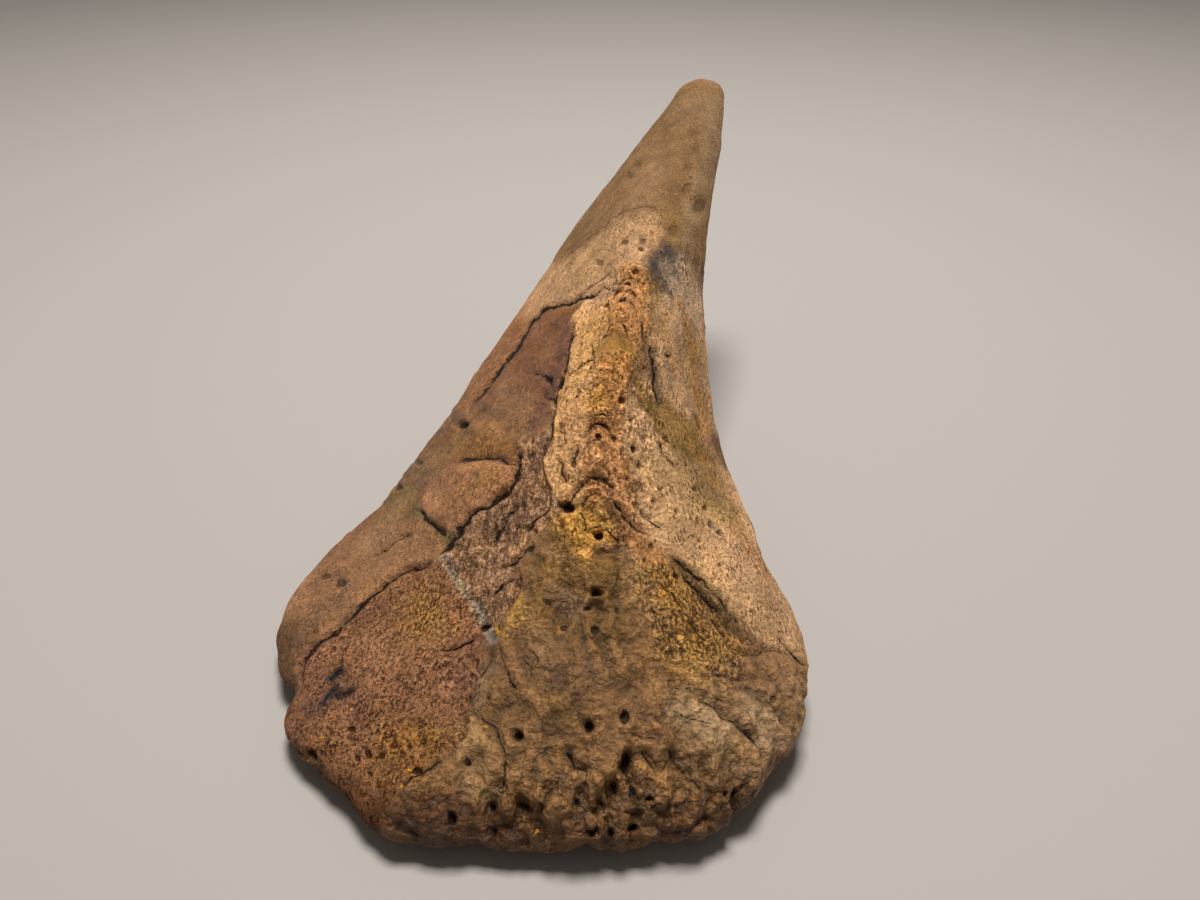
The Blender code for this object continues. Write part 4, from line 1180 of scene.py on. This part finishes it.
# ---------------------------------------------------------------- the bone's finish
class Finish:
    """A material's node tree, with short calls for the kinds of node that the bone needs."""

    def __init__(self, name):
        self.material = bpy.data.materials.new(name)
        self.material.use_nodes = True
        self.tree = self.material.node_tree
        self.shader = self.tree.nodes["Principled BSDF"]

    def feed(self, node, key, value):
        """Sets one of a node's sockets to a number, colour or vector, or links another node's result."""
        if isinstance(value, bpy.types.NodeSocket):
            self.tree.links.new(value, node.inputs[key])
        else:
            node.inputs[key].default_value = value

    def node(self, kind, inputs=(), **settings):
        """A new node of the kind, with its settings and what each of its sockets is fed."""
        made = self.tree.nodes.new(kind)
        for name, value in settings.items():
            setattr(made, name, value)
        for key, value in dict(inputs).items():
            self.feed(made, key, value)
        return made

    def mark(self, name, reading="Fac"):
        """The value of one of the mesh's marks, or with reading Vector its vector."""
        return self.node("ShaderNodeAttribute", attribute_name=name).outputs[reading]

    def maths(self, operation, first, second=0.0, third=0.0):
        """One sum on two or three numbers."""
        inputs = {0: first, 1: second, 2: third}
        return self.node("ShaderNodeMath", inputs, operation=operation).outputs[0]

    def short_maths(self):
        """Short calls for a sum, a difference, a product, a product plus a third value, and the larger."""
        names = ("ADD", "SUBTRACT", "MULTIPLY", "MULTIPLY_ADD", "MAXIMUM")
        return [functools.partial(self.maths, name) for name in names]

    def vector(self, operation, first, second):
        """One sum on two vectors."""
        return self.node("ShaderNodeVectorMath", {0: first, 1: second}, operation=operation).outputs[0]

    def noise(self, places, size, detail=3.0, rough=0.55):
        """Noise from 0 to 1 with lumps of about the given size in millimetres."""
        inputs = {"Vector": places, "Scale": 1 / size, "Detail": detail, "Roughness": rough}
        return self.node("ShaderNodeTexNoise", inputs).outputs["Fac"]

    def cells(self, places, size, feature="F1"):
        """Distance from the nearest of a scatter of points, in cells of the given size, or from the edge
        between two cells."""
        inputs = {"Vector": places, "Scale": 1 / size}
        return self.node("ShaderNodeTexVoronoi", inputs, feature=feature).outputs["Distance"]

    def ease(self, value, low, high, start=0.0, end=1.0):
        """An easy change from start to end as value goes from low to high."""
        inputs = {"Value": value, "From Min": low, "From Max": high, "To Min": start, "To Max": end}
        return self.node("ShaderNodeMapRange", inputs, interpolation_type="SMOOTHSTEP").outputs["Result"]

    def blend(self, share, first, second, how="MIX"):
        """Two colours mixed by a share."""
        first, second = ((*tint, 1.0) if isinstance(tint, tuple) else tint for tint in (first, second))
        inputs = {0: share, 6: first, 7: second}
        return self.node("ShaderNodeMix", inputs, data_type="RGBA", blend_type=how).outputs[2]

    def tinted(self, share, colour, tint):
        """A colour, multiplied by a tint in the share given."""
        return self.blend(share, colour, self.blend(1.0, colour, tint, "MULTIPLY"))

    def spot(self, name, ragged, raggedness):
        """Share of the nearest pit or grain: 1 inside four fifths of its radius, with a ragged edge, and 0
        outside."""
        offset = self.mark(name + "_offset", "Vector")
        radius = self.node("ShaderNodeSeparateXYZ", {0: offset}).outputs[2]
        across = self.vector("MULTIPLY", offset, (1, 1, 0))
        gap = self.node("ShaderNodeVectorMath", {0: across}, operation="LENGTH").outputs["Value"]
        _, less, times, scaled, _ = self.short_maths()
        within = scaled(ragged, raggedness, less(times(radius, 0.8), gap))
        return times(self.ease(within, -0.02, 0.10), self.mark(name + "_near"))


def bone_finish():
    """Dry mineralised bone: the painted colours broken by grit, folds, fibres, crumbs, pores and dust, with
    dirt and painted shade in the cracks, pits, pores, seams, creases and hollows, painted highlight on
    ridges, and the same marks as fine bumps. Noises are given their size in mm, then detail and roughness."""
    finish = Finish("mineralised bone")
    noise, cells, ease, mark, vector = finish.noise, finish.cells, finish.ease, finish.mark, finish.vector
    plus, less, times, scaled, most = finish.short_maths()
    places = finish.node("ShaderNodeTexCoord").outputs["Object"]
    places = vector("MULTIPLY", places, (1000, 1000, 1000))
    grain = mark("grain_places", "Vector")
    paint = finish.node("ShaderNodeVertexColor", layer_name="bone_colour").outputs["Color"]
    porous, fibrous, flaky, crisp, soft, rugged = map(mark, (*SKIN_MARKS, "rugged"))

    broad = noise(places, 3.0, 4)
    patch = noise(places, 6.0, 3, 0.6)
    lump = noise(places, 1.7, 2, 0.4)
    grit = noise(places, 0.60, 5, 0.70)
    speck = noise(places, 0.26, 2, 0.6)
    fibre = noise(grain, 0.50, 4, 0.62)
    ragged = less(grit, 0.5)
    bent = vector("ADD", grain, scaled(grit, 0.5, times(broad, 1.2)))
    shaken = vector("ADD", grain, times(grit, 0.35))
    rust = noise(bent, 0.9, 4, 0.65)

    # Folds: rounded knolls with creases between them, and noise in lumps of a millimetre or two, both deep
    # where the skin is rugged.
    swayed = vector("ADD", places, scaled(lump, 1.5, times(grit, 0.35)))
    knoll = cells(swayed, 1.5)
    knoll = times(knoll, knoll)
    folds = scaled(knoll, -0.45, times(lump, 2.7))
    folds = times(scaled(noise(places, 0.8, 2, 0.4), 0.8, folds), rugged)

    # Flakes: thin dark lines between warped cells, broken up where the broad noise is low.
    lines = ease(cells(bent, 1.6, "DISTANCE_TO_EDGE"), 0.0, 0.085, 1.0, 0.0)
    lines = times(times(lines, ease(patch, 0.42, 0.56)), flaky)

    # Pores: short dark dashes of many sizes. Crumbs: rounded grains with deep seams between them.
    worn = ease(scaled(broad, 0.5, times(patch, 0.5)), 0.40, 0.62)
    hole = less(scaled(worn, 0.36, 0.03), cells(shaken, 0.72))
    holes = times(ease(hole, 0.0, 0.06), porous)
    seams = plus(ease(grit, 0.455, 0.385), ease(cells(shaken, 0.5), 0.55, 0.9, 0.0, 0.4))
    seams = times(times(seams, most(porous, flaky)), scaled(worn, 0.9, 0.30))

    # Light and dark: each factor is 1 on the whole, and varies less where the skin is soft.
    calm = times(ease(soft, 0.0, 1.0, 1.0, 0.46), ease(crisp, 0.0, 1.0, 0.65, 1.9))
    tone = scaled(ease(grit, 0.3, 0.7, -0.30, 0.32), calm, 1.0)
    tone = times(tone, ease(broad, 0.3, 0.7, 0.86, 1.15))
    tone = times(tone, scaled(ease(speck, 0.25, 0.75, -0.22, 0.24), calm, 1.0))
    tone = times(tone, plus(times(ease(fibre, 0.34, 0.66, -0.40, 0.36), fibrous), 1.0))
    # Painted shade in the creases between knolls and a faint painted highlight on their tops, where the skin
    # is rugged.
    tone = times(tone, plus(times(ease(knoll, 0.15, 0.75, 0.08, -0.30), rugged), 1.0))
    # Darker in the hollows of the mesh's rise (dirt and painted shade), lighter on its ridges (painted
    # highlight).
    tone = times(tone, ease(mark("hollow"), -0.7, 0.8, 1.26, 0.70))
    grey = finish.node("ShaderNodeCombineColor", {0: tone, 1: tone, 2: tone}).outputs[0]
    colour = finish.blend(1.0, paint, grey, "MULTIPLY")
    # Rusty and pale grains, where one noise is high and where it is low.
    colour = finish.tinted(times(ease(rust, 0.54, 0.70, 0.0, 0.55), calm), colour, RUSTY)
    colour = finish.tinted(times(ease(rust, 0.46, 0.32, 0.0, 0.5), calm), colour, PALE)
    # Ochre dust gathers in grains: a fine scatter that shows where the dust lies thick.
    level = scaled(mark("ochre"), 0.26, grit)
    colour = finish.blend(ease(level, 0.68, 0.82, 0.0, 0.8), colour, OCHRE)
    colour = finish.blend(finish.spot("grain", ragged, 0.5), colour, DEEP_OCHRE)

    # Dirt and painted shade: the cracks' wavering slits, black painted shade in the middle, then pits, pores,
    # flake lines and seams.
    bend = scaled(less(lump, 0.5), 0.9, mark("crack_line"))
    slit = less(mark("crack_wide"), finish.maths("ABSOLUTE", bend))
    slit = plus(slit, ease(rust, 0.38, 0.6, -0.12, 0.02))
    crack_depth = mark("crack_depth")
    crack = times(ease(scaled(ragged, 0.6, slit), -0.04, 0.08), crack_depth)
    gaps = most(crack, finish.spot("pit", ragged, 0.4))
    dirt_and_shade = most(most(gaps, times(holes, 0.8)), times(lines, 0.75))
    dirt_and_shade = most(dirt_and_shade, times(seams, ease(crisp, 0.0, 1.0, 0.30, 0.70)))
    # Dirt and painted shade in cracks, pits, pores, flake lines and seams.
    colour = finish.tinted(times(dirt_and_shade, 0.95), colour, SOIL_AND_SHADE)
    core = times(ease(scaled(ragged, 0.5, slit), 0.0, 0.12), crack_depth)
    # Black painted shade in the middle of each crack.
    colour = finish.blend(times(core, 0.8), colour, DEEP_SHADE)

    fine = scaled(grit, 0.55, times(speck, 0.12))
    fine = scaled(seams, ease(crisp, 0.0, 1.0, -0.16, -0.42), fine)
    height = scaled(fine, ease(soft, 0.0, 1.0, 1.0, 0.85), scaled(broad, 0.5, folds))
    height = scaled(fibre, ease(fibrous, 0.0, 1.0, 0.05, 0.55), height)
    height = scaled(lines, -0.22, scaled(holes, -0.30, height))
    height = scaled(gaps, -0.8, height)
    bump = finish.node("ShaderNodeBump", {"Strength": 1.0, "Distance": 0.001, "Height": height})
    finish.feed(finish.shader, "Base Color", colour)
    finish.feed(finish.shader, "Normal", bump.outputs["Normal"])
    finish.feed(finish.shader, "Roughness", ease(soft, 0.0, 0.6, 0.88, 0.50))
    finish.feed(finish.shader, "Specular IOR Level", ease(soft, 0.0, 0.7, 0.15, 0.48))
    return finish.material


# ---------------------------------------------------------------- floor, light and camera
PAPER = (0.465, 0.432, 0.40)
FLOOR_REACH = 4.0
ROOM_TINT = (1.0, 0.96, 0.93)
ROOM_STRENGTH = 0.135
SOFTBOX_PLACE = (0.03, 0.17, 0.86)
SOFTBOX_AIM = (0, 0.0, 0.02)
SOFTBOX_SIZE = 0.27
SOFTBOX_POWER = 8.65
SOFTBOX_TINT = (1.0, 0.965, 0.935)


def make_floor():
    """A wide square floor just under the scute."""
    finish = Finish("pale paper")
    finish.feed(finish.shader, "Base Color", (*PAPER, 1))
    finish.feed(finish.shader, "Roughness", 0.7)
    finish.feed(finish.shader, "Specular IOR Level", 0.2)
    mesh = bpy.data.meshes.new("pale floor")
    corners = [(x * FLOOR_REACH, y * FLOOR_REACH, 0) for x, y in ((-1, -1), (1, -1), (1, 1), (-1, 1))]
    mesh.from_pydata(corners, [], [(0, 1, 2, 3)])
    mesh.materials.append(finish.material)
    put("pale_floor", mesh)


def light_room():
    """A dim warm room, and a square soft light overhead turned to face the scute."""
    world = bpy.data.worlds.new("soft room")
    world.use_nodes = True
    background = world.node_tree.nodes["Background"]
    background.inputs["Color"].default_value = (*ROOM_TINT, 1)
    background.inputs["Strength"].default_value = ROOM_STRENGTH
    bpy.context.scene.world = world
    lamp = bpy.data.lights.new("overhead_softbox", "AREA")
    lamp.size = SOFTBOX_SIZE
    lamp.energy = SOFTBOX_POWER
    lamp.color = SOFTBOX_TINT
    holder = put("overhead_softbox", lamp)
    holder.location = SOFTBOX_PLACE
    away = np.array(SOFTBOX_AIM) - np.array(SOFTBOX_PLACE)
    level = np.hypot(away[0], away[1])
    holder.rotation_euler = (np.arctan2(level, -away[2]), 0, np.arctan2(-away[0], away[1]))
    bpy.context.scene.view_settings.view_transform = "Standard"
    bpy.context.scene.view_settings.look = "None"


def place_camera():
    """The camera at the eye, tipped down by the pitch, which sees the picture plane full width."""
    lens = bpy.data.cameras.new("picture camera")
    lens.sensor_width = SENSOR_MM
    lens.lens = FOCAL / PICTURE_WIDTH * SENSOR_MM
    lens.clip_start = 0.005
    camera = put("picture_camera", lens)
    camera.location = EYE * MM
    camera.rotation_euler = (np.pi / 2 - PITCH, 0, 0)
    bpy.context.scene.camera = camera


scute = make_scute()
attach(scute, "root")
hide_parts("scute")
make_floor()
light_room()
place_camera()
